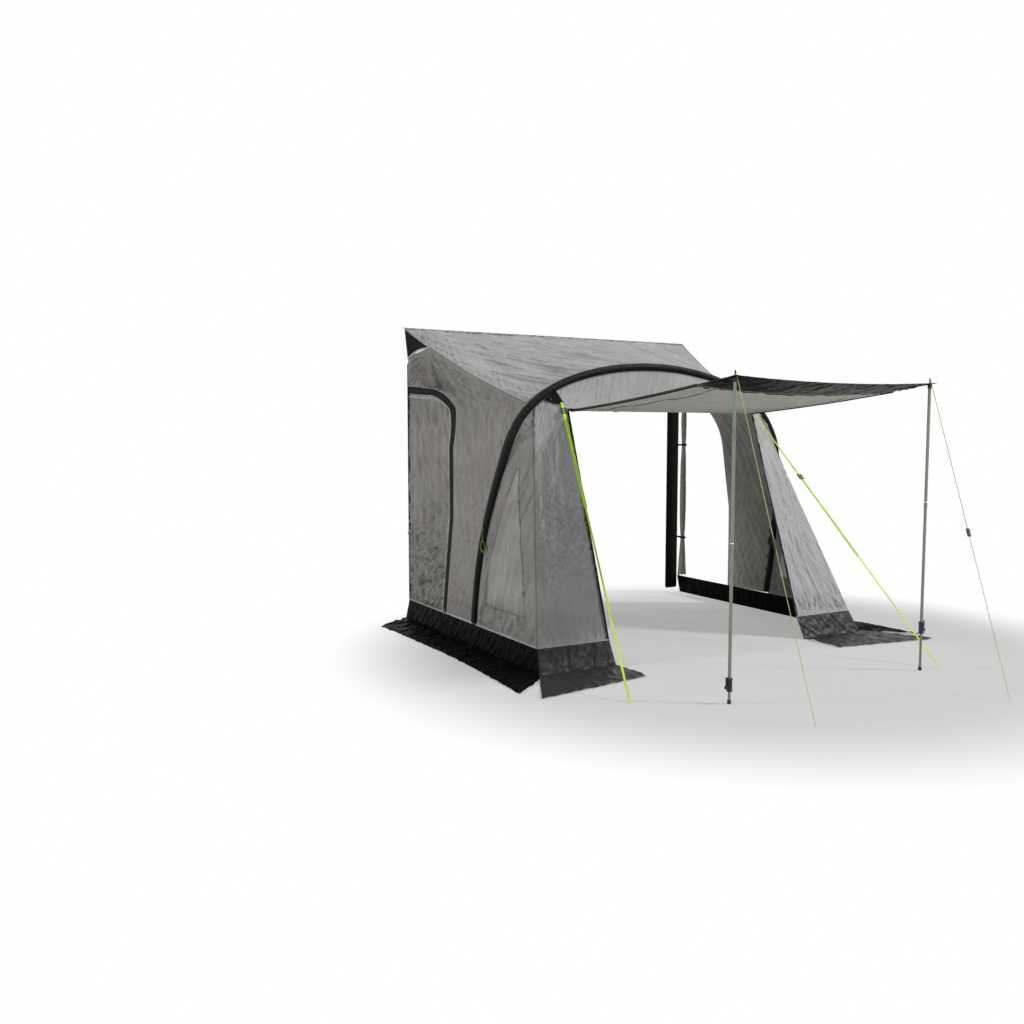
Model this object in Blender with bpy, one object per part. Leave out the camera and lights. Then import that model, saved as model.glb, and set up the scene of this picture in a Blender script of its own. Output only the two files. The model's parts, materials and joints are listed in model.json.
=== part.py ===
"""Inflatable caravan awning with a raised front canopy.

Frame: +X to the right along the caravan, +Y towards the caravan, +Z up.  The
shell hangs from a bead on the caravan's rail, is held up by one air beam in a
sleeve across it, and its front panel is lifted as a canopy on two steel poles.
All lengths are in metres.
"""

import math

import bmesh
import bpy
from mathutils import Matrix, Vector

for old in list(bpy.data.objects):
    bpy.data.objects.remove(old, do_unlink=True)

# sizes
# cloth
FABRIC = 0.0012
SEAM_GAP = 0.0004
EDGE_GAP = 0.0007
# shell
RAIL_HALF = 1.44
RAIL_HEIGHT = 2.40
BEAD_RADIUS = 0.004
WALL_HALF = 1.41
SEAM_HEIGHT = 0.163
FRONT_DEPTH = 2.14
OPENING_HALF = 0.855
HINGE_HEIGHT = 1.697
HINGE_DEPTH = 1.615
CORNER_DROP = 0.275
EAVE_SAG = 0.043
ROOF_SAG = 0.02
# air beam and its sleeve
BEAM_FOOT_DEPTH = 1.24
SPRING_HALF = 1.262
ARCH_HALF = 1.27
SHOULDER_LEAN = 0.22
LEG_BOW = 0.055
SPRING_DEPTH = 1.462
SPRING_HEIGHT = 1.43
CROWN_DEPTH = 1.45
CROWN_HEIGHT = 2.04
SLEEVE_RADIUS = 0.028
SLEEVE_WALL = 0.0015
# wall pads and the black corners at the rear
PAD_WIDTH = 0.135
PAD_DEPTH = 0.020
PAD_HEAD = 0.28
PAD_FOOT = 0.045
PAD_TOP = RAIL_HEIGHT - PAD_HEAD
GUSSET_REACH = 0.33
GUSSET_DROP = 0.23
# doors
HINGE_CLEAR = 0.0008
DOOR_REAR = PAD_DEPTH + HINGE_CLEAR
DOOR_HEAD = 0.503
DOOR_TOP_FALL = 0.023
DOOR_TOP_REAR = RAIL_HEIGHT - DOOR_HEAD
DOOR_TOP_FRONT = DOOR_TOP_REAR - DOOR_TOP_FALL
DOOR_CORNER_START = 0.27
DOOR_CORNER_FRONT = 0.70
DOOR_CORNER_END = 1.45
DOOR_WIDEST = 0.765
DOOR_SLANT_START = 0.88
DOOR_FOOT = 0.72
ZIP_TAPE = 0.056
FOLD_HEIGHT = 0.009
FOLDS = 6
# mud walls and the ground flaps
MUD_FLARE_SIDE = 0.035
MUD_FLARE_FRONT = 0.085
SKIRT_SIDE = 0.275
SKIRT_FLARE = 0.05
SKIRT_CUT = 0.28
SKIRT_TIP = 0.32
SKIRT_FRONT = 0.335
SKIRT_FRONT_TIP = 0.47
SKIRT_FRONT_REACH = 0.26
SKIRT_JOIN = 0.06
SKIRT_JOIN_FRONT = 0.104
SKIRT_UNDER = 0.012
SKIRT_THICK = 0.0012
# canopy
CANOPY_HALF = 0.838
CANOPY_RISE = 5.3
POLE_DEPTH = 3.276
CANOPY_EDGE = 0.030
CANOPY_SAG = 0.045
FLAP_LENGTH = 0.33
NOTCH = 0.013
# poles
POLE_HALF = 0.81
TUBE_RADIUS = 0.0095
TUBE_WALL = 0.0012
SLIDE_CLEAR = 0.0003
PIVOT_DROP = 0.0165
SPIKE_RADIUS = 0.004
SPIKE_RISE = 0.036
DOME_RADIUS = 0.0137
PLUG_DEPTH = 0.025
SOCKET_DEPTH = 0.035
LEFT_JOINT = 0.917
RIGHT_JOINT = 1.095
LEFT_CLAMP = 0.072
RIGHT_CLAMP = 0.242
CLAMP_HEIGHT = 0.078
CLAMP_RADIUS = 0.018
CLAMP_GRIP = 0.030
EAR_REACH = 0.011
EAR_THICK = 0.004
EAR_SPAN = 0.018
LEVER_WIDTH = 0.009
LEVER_THICK = 0.0055
LEVER_LENGTH = 0.064
FOOT_RADIUS = 0.012
FOOT_HEIGHT = 0.024
FOOT_FLOOR = 0.005
LOWER_OVERLAP = 0.34
# storm straps
STRAP_WIDTH = 0.020
STRAP_WIDE = 0.025
STRAP_THICK = 0.0016
BUCKLE_LENGTH = 0.046
BUCKLE_RIM = 0.006
BUCKLE_THICK = 0.009
LEFT_BUCKLE_SHARE = 0.035
RIGHT_BUCKLE_SHARE = 0.31
# guy ropes and the spare cord
ROPE_RADIUS = 0.0020
RUNNER_LENGTH = 0.050
RUNNER_WIDTH = 0.020
RUNNER_THICK = 0.009
RUNNER_SHARE = 0.50
HANK_CORD = 0.0015
HANK_KNOT = 0.91
HANK_MIDDLE = 0.74
HANK_END = 0.632
HANK_BEND = 0.0065
HANK_TALL = 0.038
HANK_HALF = 0.013
HANK_STEP = 0.0047
HANK_LEAD = 0.060
HANK_TAIL_SIDE = 0.012
HANK_LOOPS = 5
# the rolled right door
ROLL_RADIUS = 0.033
ROLL_DEPTH = 0.105
ROLL_INSET = 0.005
ROLL_PLEATS = 5
TIE_THICK = 0.003
TIE_HEIGHT = 0.018
# zip slider
SLIDER_LENGTH = 0.018
SLIDER_WIDTH = 0.011
SLIDER_THICK = 0.006
PULLER_LENGTH = 0.042
PULLER_THICK = 0.002

TUBE_SIDES = 16
SLEEVE_SIDES = 12
ARC_STEP = 5
LEG_STEPS = 5
SHOULDER = 30
OPENING_ANGLE = 45

# looks
LOOKS = {
    "roof": ((0.27, 0.285, 0.285), 0.75, 0.0),
    "side": ((0.195, 0.182, 0.172), 0.75, 0.0),
    "front": ((0.23, 0.235, 0.225), 0.75, 0.0),
    "canopy": ((0.37, 0.36, 0.33), 0.78, 0.0),
    "black": ((0.012, 0.012, 0.013), 0.65, 0.0),
    "sleeve": ((0.03, 0.03, 0.032), 0.6, 0.0),
    "plastic_sheet": ((0.018, 0.017, 0.018), 0.28, 0.0),
    "window": ((0.03, 0.033, 0.03), 0.25, 0.0),
    "steel": ((0.34, 0.38, 0.34), 0.32, 0.9),
    "clamp": ((0.014, 0.014, 0.015), 0.45, 0.0),
    "lime": ((0.50, 0.80, 0.07), 0.7, 0.0),
    "rope": ((0.70, 0.78, 0.35), 0.8, 0.0),
    "bead": ((0.70, 0.70, 0.72), 0.5, 0.0),
}


def look(name, key):
    """A Principled material of its own for one piece."""
    colour, roughness, metallic = LOOKS[key]
    mat = bpy.data.materials.new(name + "_look")
    mat.use_nodes = True
    bsdf = mat.node_tree.nodes["Principled BSDF"]
    bsdf.inputs["Base Color"].default_value = (*colour, 1.0)
    bsdf.inputs["Roughness"].default_value = roughness
    bsdf.inputs["Metallic"].default_value = metallic
    return mat


X = Vector((1.0, 0.0, 0.0))
Y = Vector((0.0, 1.0, 0.0))
Z = Vector((0.0, 0.0, 1.0))


def lerp(a, b, t):
    return a + (b - a) * t


def smooth(t):
    t = min(max(t, 0.0), 1.0)
    return t * t * (3.0 - 2.0 * t)


# reference curves
def beam_point(angle):
    """Centre of the beam on its arch; 0 and 180 degrees are the springings."""
    c = math.cos(math.radians(angle))
    s = math.sin(math.radians(angle))
    depth = lerp(SPRING_DEPTH, CROWN_DEPTH, s * s)
    rise = CROWN_HEIGHT - SPRING_HEIGHT
    # the shoulders are pulled in from an ellipse
    lean = (1.0 - s) ** 2 * (ARCH_HALF - SPRING_HALF + SHOULDER_LEAN * s)
    half = ARCH_HALF * abs(c) - lean
    return Vector((-math.copysign(half, c), -depth, SPRING_HEIGHT + rise * s))


def leg_bow(z):
    """How far the leg's line bows outwards at a height."""
    t = (z - SEAM_HEIGHT) / (SPRING_HEIGHT - SEAM_HEIGHT)
    return LEG_BOW * math.sin(math.pi * min(max(t, 0.0), 1.0))


def leg_point(t):
    """Centre of the left leg, from its foot at 0 to the springing at 1."""
    p = Vector((-WALL_HALF, -BEAM_FOOT_DEPTH, SEAM_HEIGHT)).lerp(beam_point(0), t)
    p.x -= leg_bow(p.z)
    return p


def flip(p):
    return Vector((-p[0], p[1], p[2]))


# the slanted sleeve's lowest corner clears the mud wall's top edge
FOOT_SHARE = SLEEVE_RADIUS / 3.0 / (SPRING_HEIGHT - SEAM_HEIGHT)
LEFT_LEG = [leg_point(max(k / LEG_STEPS, FOOT_SHARE)) for k in range(LEG_STEPS)]
ARC = [beam_point(a) for a in range(0, 181, ARC_STEP)]
BEAM = LEFT_LEG + ARC + [flip(p) for p in reversed(LEFT_LEG)]
FIRST_ARC = len(LEFT_LEG)


def arc_index(angle):
    return FIRST_ARC + angle // ARC_STEP


def tangent(points, i):
    a = points[max(i - 1, 0)]
    b = points[min(i + 1, len(points) - 1)]
    return (b - a).normalized()


def beside_beam(i, towards, gap=SEAM_GAP):
    """The point beside the sleeve at beam sample i, on the side of `towards`."""
    t = tangent(BEAM, i)
    d = towards - BEAM[i]
    d = (d - t * d.dot(t)).normalized()
    return BEAM[i] + d * (SLEEVE_RADIUS + gap)


def beside_foot(towards, gap=SEAM_GAP):
    """The same beside the leg's foot, brought down the leg to the wall's hem."""
    t = tangent(BEAM, 0)
    p = beside_beam(0, towards, gap)
    return p - t * ((p.z - SEAM_HEIGHT - EDGE_GAP) / t.z)


SHOULDER_POINT = BEAM[arc_index(SHOULDER)]
GROUND_CORNER = Vector((-WALL_HALF, -FRONT_DEPTH, SEAM_HEIGHT))
SEAM_HEAD = beside_beam(arc_index(SHOULDER), GROUND_CORNER)
CORNER_TOP = SEAM_HEAD + (GROUND_CORNER - SEAM_HEAD).normalized() * CORNER_DROP
OPENING_FOOT = Vector((-OPENING_HALF, -FRONT_DEPTH, SEAM_HEIGHT))
OPENING_HEAD = Vector((-OPENING_HALF, -HINGE_DEPTH, HINGE_HEIGHT))
RAIL_END = Vector((-RAIL_HALF, -2.0 * BEAD_RADIUS - SEAM_GAP, RAIL_HEIGHT))


EAVE_END = beside_beam(arc_index(SHOULDER), RAIL_END)


def eave_point(e):
    p = RAIL_END.lerp(EAVE_END, e)
    p.z -= 4.0 * EAVE_SAG * e * (1.0 - e)
    return p


def eave_at_height(z):
    low, high = 0.0, 1.0
    for _ in range(40):
        mid = (low + high) / 2.0
        if eave_point(mid).z > z:
            low = mid
        else:
            high = mid
    return eave_point(low)


def leg_at_height(z):
    if z <= SPRING_HEIGHT:
        return leg_point((z - SEAM_HEIGHT) / (SPRING_HEIGHT - SEAM_HEIGHT))
    s = min((z - SPRING_HEIGHT) / (CROWN_HEIGHT - SPRING_HEIGHT), 1.0)
    return beam_point(math.degrees(math.asin(s)))


def side_point(y, z):
    """The left side wall's surface between its rear edge and the beam or eave."""
    edge = leg_at_height(z) if z <= SHOULDER_POINT.z else eave_at_height(z)
    share = min(y / edge.y, 1.0) if edge.y else 0.0
    # the bow of the leg soon dies away in the cloth behind it
    bow = leg_bow(z)
    return Vector((lerp(-WALL_HALF, edge.x + bow, share) - bow * share ** 4, y, z))


# canopy: a plane through the hinge line, raised by CANOPY_RISE degrees
RISE = math.radians(CANOPY_RISE)
OUT = Vector((0.0, -math.cos(RISE), math.sin(RISE)))
UP = Vector((0.0, math.sin(RISE), math.cos(RISE)))
HINGE = Vector((0.0, -HINGE_DEPTH, HINGE_HEIGHT))
CANOPY_TO_POLE = (POLE_DEPTH - HINGE_DEPTH) / math.cos(RISE)
CANOPY_LENGTH = CANOPY_TO_POLE + CANOPY_EDGE
EYELET_HEIGHT = (HINGE + OUT * CANOPY_TO_POLE).z
PIVOT_HEIGHT = EYELET_HEIGHT - PIVOT_DROP


def canopy_point(x, s):
    """A point of the canopy's middle surface; s is the distance from the hinge."""
    u = x / CANOPY_HALF
    v = s / CANOPY_LENGTH
    sag = CANOPY_SAG * (1.0 - u * u) * (0.55 * math.sin(math.pi * v) + 0.75 * smooth(v) * (1.0 - 0.3 * v))
    edge = 0.30 * CANOPY_SAG * math.sin(math.pi * v)
    return HINGE + X * x + OUT * s - UP * (sag + edge)


# the awning stands with its box's middle on the origin
FRONT_REACH = -canopy_point(0.0, CANOPY_LENGTH).y + 0.5 * FABRIC * math.sin(RISE)
SHIFT = Vector((0.0, FRONT_REACH / 2.0, 0.0))


# builders
def finish(name, bm, key, origin=None, smooth_angle=None):
    """Turn a bmesh in reference coordinates into a placed object."""
    bm.normal_update()
    bmesh.ops.recalc_face_normals(bm, faces=bm.faces)
    mesh = bpy.data.meshes.new(name)
    bm.to_mesh(mesh)
    bm.free()
    obj = bpy.data.objects.new(name, mesh)
    bpy.context.collection.objects.link(obj)
    place = Vector(origin) if origin is not None else Vector((0.0, 0.0, 0.0))
    mesh.transform(Matrix.Translation(-place))
    obj.location = place + SHIFT
    mesh.materials.append(look(name, key))
    if smooth_angle:
        mesh.shade_smooth()
        mesh.set_sharp_from_angle(angle=math.radians(smooth_angle))
    return obj


def pivot(name, point):
    empty = bpy.data.objects.new(name, None)
    bpy.context.collection.objects.link(empty)
    empty.location = Vector(point) + SHIFT
    return empty


def ride(obj, empty):
    """Parent an object to a joint's empty without moving it."""
    obj.parent = empty
    obj.location = obj.location - empty.location


def cloth(name, grid, key, thick=FABRIC, hole=None, origin=None):
    """A closed sheet on a grid of points; `hole(i, j)` leaves a cell open."""
    rows, cols = len(grid), len(grid[0])
    cells = [(i, j) for i in range(rows - 1) for j in range(cols - 1)]
    if hole:
        cells = [c for c in cells if not hole(*c)]
    normals = {}
    for i, j in cells:
        a, b = grid[i][j], grid[i + 1][j + 1]
        c, d = grid[i + 1][j], grid[i][j + 1]
        n = (b - a).cross(d - c)
        for k in ((i, j), (i + 1, j), (i, j + 1), (i + 1, j + 1)):
            normals[k] = normals.get(k, Vector((0.0, 0.0, 0.0))) + n
    bm = bmesh.new()
    top, bottom = {}, {}
    for k in sorted(normals):
        n = normals[k].normalized() * (thick / 2.0)
        top[k] = bm.verts.new(grid[k[0]][k[1]] + n)
        bottom[k] = bm.verts.new(grid[k[0]][k[1]] - n)
    present = set(cells)
    for i, j in cells:
        ring = [(i, j), (i + 1, j), (i + 1, j + 1), (i, j + 1)]
        # both skins of a twisted cell fold along the same diagonal
        for half in (ring[:3], [ring[0]] + ring[2:]):
            bm.faces.new([top[k] for k in half])
            bm.faces.new([bottom[k] for k in reversed(half)])
        sides = ((i, j - 1), (i + 1, j), (i, j + 1), (i - 1, j))
        for n, other in enumerate(sides):
            if other not in present:
                a, b = ring[n], ring[(n + 1) % 4]
                bm.faces.new([top[b], top[a], bottom[a], bottom[b]])
    return finish(name, bm, key, origin, smooth_angle=30)


def mirror_grid(grid):
    return [[flip(p) for p in row] for row in grid]


def along(points, t):
    """The point at share t of a polyline's length."""
    lengths = [(b - a).length for a, b in zip(points, points[1:])]
    left = t * sum(lengths)
    for (a, b), n in zip(zip(points, points[1:]), lengths):
        if left <= n or b is points[-1]:
            return a.lerp(b, min(left / n, 1.0))
        left -= n
    return points[-1].copy()


def lathe(name, profile, key, base, sides=TUBE_SIDES, origin=None, lift=0.0):
    """A turned solid about a vertical axis through base.

    The profile is a closed loop of (radius, height); points of radius zero lie
    on the axis.
    """
    bm = bmesh.new()
    rings = []
    for r, h in profile:
        z = base[2] + lift + h
        if r == 0:
            rings.append([bm.verts.new((base[0], base[1], z))])
            continue
        ring = []
        for k in range(sides):
            a = 2.0 * math.pi * (k + 0.5) / sides
            x = base[0] + r * math.cos(a)
            y = base[1] + r * math.sin(a)
            ring.append(bm.verts.new((x, y, z)))
        rings.append(ring)
    count = len(rings)
    for n in range(count):
        a, b = rings[n], rings[(n + 1) % count]
        if len(a) == 1 and len(b) == 1:
            continue
        for k in range(sides):
            m = (k + 1) % sides
            if len(a) == 1:
                bm.faces.new([a[0], b[m], b[k]])
            elif len(b) == 1:
                bm.faces.new([a[k], a[m], b[0]])
            else:
                bm.faces.new([a[k], a[m], b[m], b[k]])
    return finish(name, bm, key, origin, smooth_angle=35)


def frame_along(points):
    """Unit vectors square to a path, carried along it without twist."""
    t = tangent(points, 0)
    n = t.orthogonal().normalized()
    frames = []
    for i in range(len(points)):
        t = tangent(points, i)
        n = (n - t * n.dot(t)).normalized()
        frames.append((n, t.cross(n)))
    return frames


def pipe(name, points, radius, key, sides, bore=0.0):
    """A round pipe along a path; with a bore it is open at both ends."""
    bm = bmesh.new()
    frames = frame_along(points)

    def ring(i, r):
        n, b = frames[i]
        out = []
        for k in range(sides):
            a = 2.0 * math.pi * k / sides
            out.append(bm.verts.new(points[i] + n * (r * math.cos(a)) + b * (r * math.sin(a))))
        return out

    skins = [[ring(i, radius) for i in range(len(points))]]
    if bore:
        skins.append([ring(i, bore) for i in range(len(points))])
    for skin in skins:
        for a, b in zip(skin, skin[1:]):
            for k in range(sides):
                m = (k + 1) % sides
                bm.faces.new([a[k], a[m], b[m], b[k]])
    for end in (0, -1):
        if bore:
            a, b = skins[0][end], skins[1][end]
            for k in range(sides):
                m = (k + 1) % sides
                bm.faces.new([a[k], a[m], b[m], b[k]])
        else:
            bm.faces.new(skins[0][end])
    return finish(name, bm, key, smooth_angle=40)


def block(name, centre, axes, size, key, origin=None):
    """A box from its centre, three unit axes and its size along each."""
    bm = bmesh.new()
    made = bmesh.ops.create_cube(bm, size=1.0)
    for v in made["verts"]:
        x, y, z = v.co
        offset = axes[0] * (x * size[0]) + axes[1] * (y * size[1]) + axes[2] * (z * size[2])
        v.co = Vector(centre) + offset
    return finish(name, bm, key, origin)


def cord(name, points, radius, key, resolution=2):
    """A cord as a curve with a round bevel and filled caps."""
    curve = bpy.data.curves.new(name, "CURVE")
    curve.dimensions = "3D"
    curve.bevel_depth = radius
    curve.bevel_resolution = resolution
    curve.use_fill_caps = True
    curve.resolution_u = 1
    curve.render_resolution_u = 0
    spline = curve.splines.new("POLY")
    spline.points.add(len(points) - 1)
    for slot, p in zip(spline.points, points):
        slot.co = (*p, 1.0)
    obj = bpy.data.objects.new(name, curve)
    bpy.context.collection.objects.link(obj)
    obj.location = SHIFT
    curve.materials.append(look(name, key))
    return obj


def cutter(name, centre, axes, size):
    obj = block(name, centre, axes, size, "black")
    obj.hide_render = True
    obj.display_type = "WIRE"
    return obj


def boolean(obj, other, operation):
    mod = obj.modifiers.new(operation.lower(), "BOOLEAN")
    mod.operation = operation
    mod.object = other
    mod.solver = "EXACT"
    return mod


# roof and header
def roof():
    first, last = arc_index(SHOULDER), arc_index(180 - SHOULDER)
    front = []
    for i in range(first, last + 1):
        rear = Vector((BEAM[i].x * RAIL_HALF / -SHOULDER_POINT.x, RAIL_END.y, RAIL_HEIGHT))
        front.append((rear, beside_beam(i, rear)))
    rows = 10
    grid = []
    for r in range(rows + 1):
        v = r / rows
        row = []
        for n, (rear, edge) in enumerate(front):
            u = abs(2.0 * n / (len(front) - 1) - 1.0)
            p = rear.lerp(edge, v)
            sag = lerp(ROOF_SAG, EAVE_SAG, u ** 4)
            p.z -= 4.0 * sag * v * (1.0 - v)
            row.append(p)
        grid.append(row)
    for row in grid:
        row[0] = row[0] + X * EDGE_GAP
        row[-1] = row[-1] - X * EDGE_GAP
    cloth("roof_panel", grid, "roof")


def header_columns():
    """Lines from the header's lower edge up to the beam, left to right."""
    first, last = arc_index(SHOULDER), arc_index(180 - SHOULDER)
    left, right = arc_index(OPENING_ANGLE), arc_index(180 - OPENING_ANGLE)
    columns = []
    for i in range(first, last + 1):
        if left <= i <= right:
            low = Vector((BEAM[i].x * OPENING_HALF / -BEAM[left].x, -HINGE_DEPTH, HINGE_HEIGHT))
        else:
            share = (i - first) / (left - first) if i < left else (last - i) / (last - right)
            low = CORNER_TOP.lerp(OPENING_HEAD, share)
            low.x += EDGE_GAP * (1.0 - share)
            low = low if i < left else flip(low)
        low.z += HINGE_CLEAR
        columns.append((low, beside_beam(i, low)))
    return columns


def header():
    """The panel between the beam and the canopy's hinge line."""
    rows = 6
    grid = [[low.lerp(high, r / rows) for low, high in header_columns()] for r in range(rows + 1)]
    cloth("header_panel", grid, "front")


def bead():
    ends = [Vector((s * RAIL_HALF, -BEAD_RADIUS, RAIL_HEIGHT)) for s in (-1.0, 1.0)]
    pipe("rail_bead", ends, BEAD_RADIUS, "bead", 12)


def beam():
    sleeve = pipe("arch_sleeve", BEAM, SLEEVE_RADIUS, "sleeve", SLEEVE_SIDES,
                  bore=SLEEVE_RADIUS - SLEEVE_WALL)
    inner = SLEEVE_RADIUS - SLEEVE_WALL - 2.0 * SEAM_GAP
    pipe("air_beam", BEAM, inner, "window", SLEEVE_SIDES)
    return sleeve


# side walls
ZIP_TOP_STEPS = 6
ZIP_CORNER_STEPS = 8
ZIP_SLANT_STEPS = 4


def zip_line(offset):
    """The door's zip in the side wall, moved outwards from the door by offset."""
    pts = []
    for k in range(ZIP_TOP_STEPS):
        t = k / ZIP_TOP_STEPS
        y = -lerp(DOOR_REAR, DOOR_CORNER_START, t)
        pts.append((y, lerp(DOOR_TOP_REAR, DOOR_TOP_FRONT, t) + offset))
    for k in range(ZIP_CORNER_STEPS + 1):
        a = math.radians(90.0 * k / ZIP_CORNER_STEPS)
        wide = DOOR_CORNER_FRONT - DOOR_CORNER_START + offset
        high = DOOR_TOP_FRONT - DOOR_CORNER_END + offset
        pts.append((-DOOR_CORNER_START - wide * math.sin(a), DOOR_CORNER_END + high * math.cos(a)))
    z = lerp(DOOR_CORNER_END, DOOR_SLANT_START, 0.5)
    pts.append((-lerp(DOOR_CORNER_FRONT, DOOR_WIDEST, 0.5) - offset, z))
    for k in range(ZIP_SLANT_STEPS + 1):
        t = k / ZIP_SLANT_STEPS
        y = -lerp(DOOR_WIDEST, DOOR_FOOT, t) - offset
        pts.append((y, lerp(DOOR_SLANT_START, SEAM_HEIGHT + EDGE_GAP, t)))
    return pts


def wall_rim(count):
    """The side panel's rim along gusset, eave, beam and leg, as `count` points."""
    rear = side_point(-DOOR_REAR, RAIL_HEIGHT - GUSSET_DROP - EDGE_GAP)
    share = GUSSET_REACH / (-EAVE_END.y)
    pts = [rear]
    angles = range(SHOULDER, -1, -ARC_STEP)
    eave_count = count - 1 - len(angles) - LEG_STEPS
    for k in range(eave_count):
        # closer together at the rear, so that the cloth's threads fan out from the zip's corner
        e = eave_point(lerp(share, 1.0, (k / eave_count) ** 1.5))
        pts.append(Vector((e.x, e.y, e.z - 2.0 * EDGE_GAP)))
    inward = Vector((-WALL_HALF, -DOOR_WIDEST, SPRING_HEIGHT))
    for angle in angles:
        pts.append(beside_beam(arc_index(angle), inward))
    for k in range(LEG_STEPS - 1, -1, -1):
        foot = BEAM[k]
        rearwards = Vector((-WALL_HALF, 0.0, foot.z))
        pts.append(beside_beam(k, rearwards) if k else beside_foot(rearwards))
    return pts


def zip_edge(offset):
    """The zip line on the wall, with its lower run drawn straight for the slider."""
    row = [side_point(y, z) for y, z in zip_line(offset)]
    low, high = row[-1], row[-ZIP_SLANT_STEPS - 1]
    for k in range(1, ZIP_SLANT_STEPS):
        row[-k - 1] = low.lerp(high, k / ZIP_SLANT_STEPS)
    return row


def side_grid():
    inner = zip_edge(ZIP_TAPE / 2.0 + 2.0 * EDGE_GAP)
    outer = wall_rim(len(inner))
    grid = []
    rows = 3
    for r in range(rows + 1):
        row = []
        for a, b in zip(inner, outer):
            p = a.lerp(b, r / rows)
            if 0 < r < rows:
                p = side_point(p.y, p.z)
            row.append(p)
        grid.append(row)
    return grid


def corner_seam(z):
    t = (z - GROUND_CORNER.z) / (CORNER_TOP.z - GROUND_CORNER.z)
    return GROUND_CORNER.lerp(CORNER_TOP, t)


WINDOW_LOW_SHARE = 0.10
WINDOW_HIGH_SHARE = 0.715
WINDOW_FOOT_SHARES = (0.14, 0.80)
WINDOW_HEAD_SHARES = (0.38, 0.48)
WINDOW_CURVES = (2.6, 1.7)
SHOULDER_SHARE = 0.8


def window_rows():
    """Pairs of points (beside the leg, beside the corner seam) from low to high."""
    rows = []
    for i in range(arc_index(SHOULDER)):
        seam = corner_seam(BEAM[i].z)
        a = beside_beam(i, seam, EDGE_GAP) if i else beside_foot(seam, EDGE_GAP)
        b = corner_seam(a.z)
        b.y += EDGE_GAP
        rows.append((a, b))
    # the panel narrows to a tip at the shoulder
    a, b = rows[-1]
    rows.append((a.lerp(SEAM_HEAD, SHOULDER_SHARE), b.lerp(SEAM_HEAD + Y * EDGE_GAP, SHOULDER_SHARE)))
    return rows


def row_at(rows, share):
    a = along([r[0] for r in rows], share)
    b = along([r[1] for r in rows], share)
    return a, b


def window_panel(side):
    rows = window_rows()
    beside = [r[0] for r in rows]
    reach = [sum((b - a).length for a, b in zip(beside[:n + 1], beside[1:n + 1]))
             for n in range(len(beside))]
    row_shares = [0.0, WINDOW_LOW_SHARE]
    steps = 5
    for k in range(1, steps + 1):
        row_shares.append(lerp(WINDOW_LOW_SHARE, WINDOW_HIGH_SHARE, k / steps))
    row_shares += [r / reach[-1] for r in reach[FIRST_ARC:]]
    grid = []
    for h in row_shares:
        a, b = row_at(rows, h)
        t = (h - WINDOW_LOW_SHARE) / (WINDOW_HIGH_SHARE - WINDOW_LOW_SHARE)
        t = min(max(t, 0.0), 1.0)
        left = lerp(WINDOW_FOOT_SHARES[0], WINDOW_HEAD_SHARES[0], t ** WINDOW_CURVES[0])
        right = lerp(WINDOW_FOOT_SHARES[1], WINDOW_HEAD_SHARES[1], t ** WINDOW_CURVES[1])
        mid = lerp(left, right, 0.5)
        grid.append([a.lerp(b, s) for s in (0.0, left, mid, right, 1.0)])
    film = [[p.copy() for p in row[1:4]] for row in grid[1:steps + 2]]
    for row in film:
        width = (row[2] - row[0]).length
        row[0] = row[0].lerp(row[2], SEAM_GAP / width)
        row[2] = row[2].lerp(row[0], SEAM_GAP / width)
    for j in range(3):
        film[0][j].z += SEAM_GAP
        film[-1][j].z -= SEAM_GAP

    def hole(i, j):
        return 1 <= i <= steps and 1 <= j <= 2

    name = "left" if side < 0 else "right"
    if side > 0:
        grid, film = mirror_grid(grid), mirror_grid(film)
    cloth(name + "_window_panel", grid, "side", hole=hole)
    cloth(name + "_window", film, "window", thick=FABRIC)


def front_wing(side):
    rows, cols = 8, 5
    grid = []
    low_a, low_b = GROUND_CORNER + X * EDGE_GAP + Z * EDGE_GAP, OPENING_FOOT + Z * EDGE_GAP
    high_a, high_b = CORNER_TOP + X * EDGE_GAP, OPENING_HEAD.copy()
    for r in range(rows + 1):
        a, b = low_a.lerp(high_a, r / rows), low_b.lerp(high_b, r / rows)
        grid.append([a.lerp(b, c / cols) for c in range(cols + 1)])
    if side > 0:
        grid = mirror_grid(grid)
    cloth(("left" if side < 0 else "right") + "_front_wing", grid, "front")


def corner_gusset(side):
    """The black triangle at the rear of the eave."""
    rear = -PAD_DEPTH
    low = RAIL_HEIGHT - GUSSET_DROP
    share = (GUSSET_REACH - 2.0 * PAD_DEPTH) / (-EAVE_END.y)
    tip = eave_point(share)
    tip_low = Vector((tip.x, tip.y, tip.z - PAD_DEPTH))
    tip_high = Vector((tip.x, tip.y, tip.z - 2.0 * EDGE_GAP))
    top_edge = eave_point(PAD_DEPTH / (-EAVE_END.y))
    high = Vector((-WALL_HALF, rear, top_edge.z - 2.0 * EDGE_GAP))
    high.x = top_edge.x
    grid = [[Vector((-WALL_HALF, rear, low)), high], [tip_low, tip_high]]
    if side > 0:
        grid = mirror_grid(grid)
    cloth(("left" if side < 0 else "right") + "_corner_gusset", grid, "black")


def wall_pad(side):
    height = PAD_TOP - PAD_FOOT
    centre = (side * (WALL_HALF - PAD_WIDTH / 2.0), -PAD_DEPTH / 2.0, PAD_FOOT + height / 2.0)
    name = ("left" if side < 0 else "right") + "_wall_pad"
    block(name, centre, (X, Y, Z), (PAD_WIDTH, PAD_DEPTH, height), "black")


def side_panels():
    grid = side_grid()
    cloth("left_side_panel", grid, "side")
    cloth("right_side_panel", mirror_grid(grid), "side")


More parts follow.
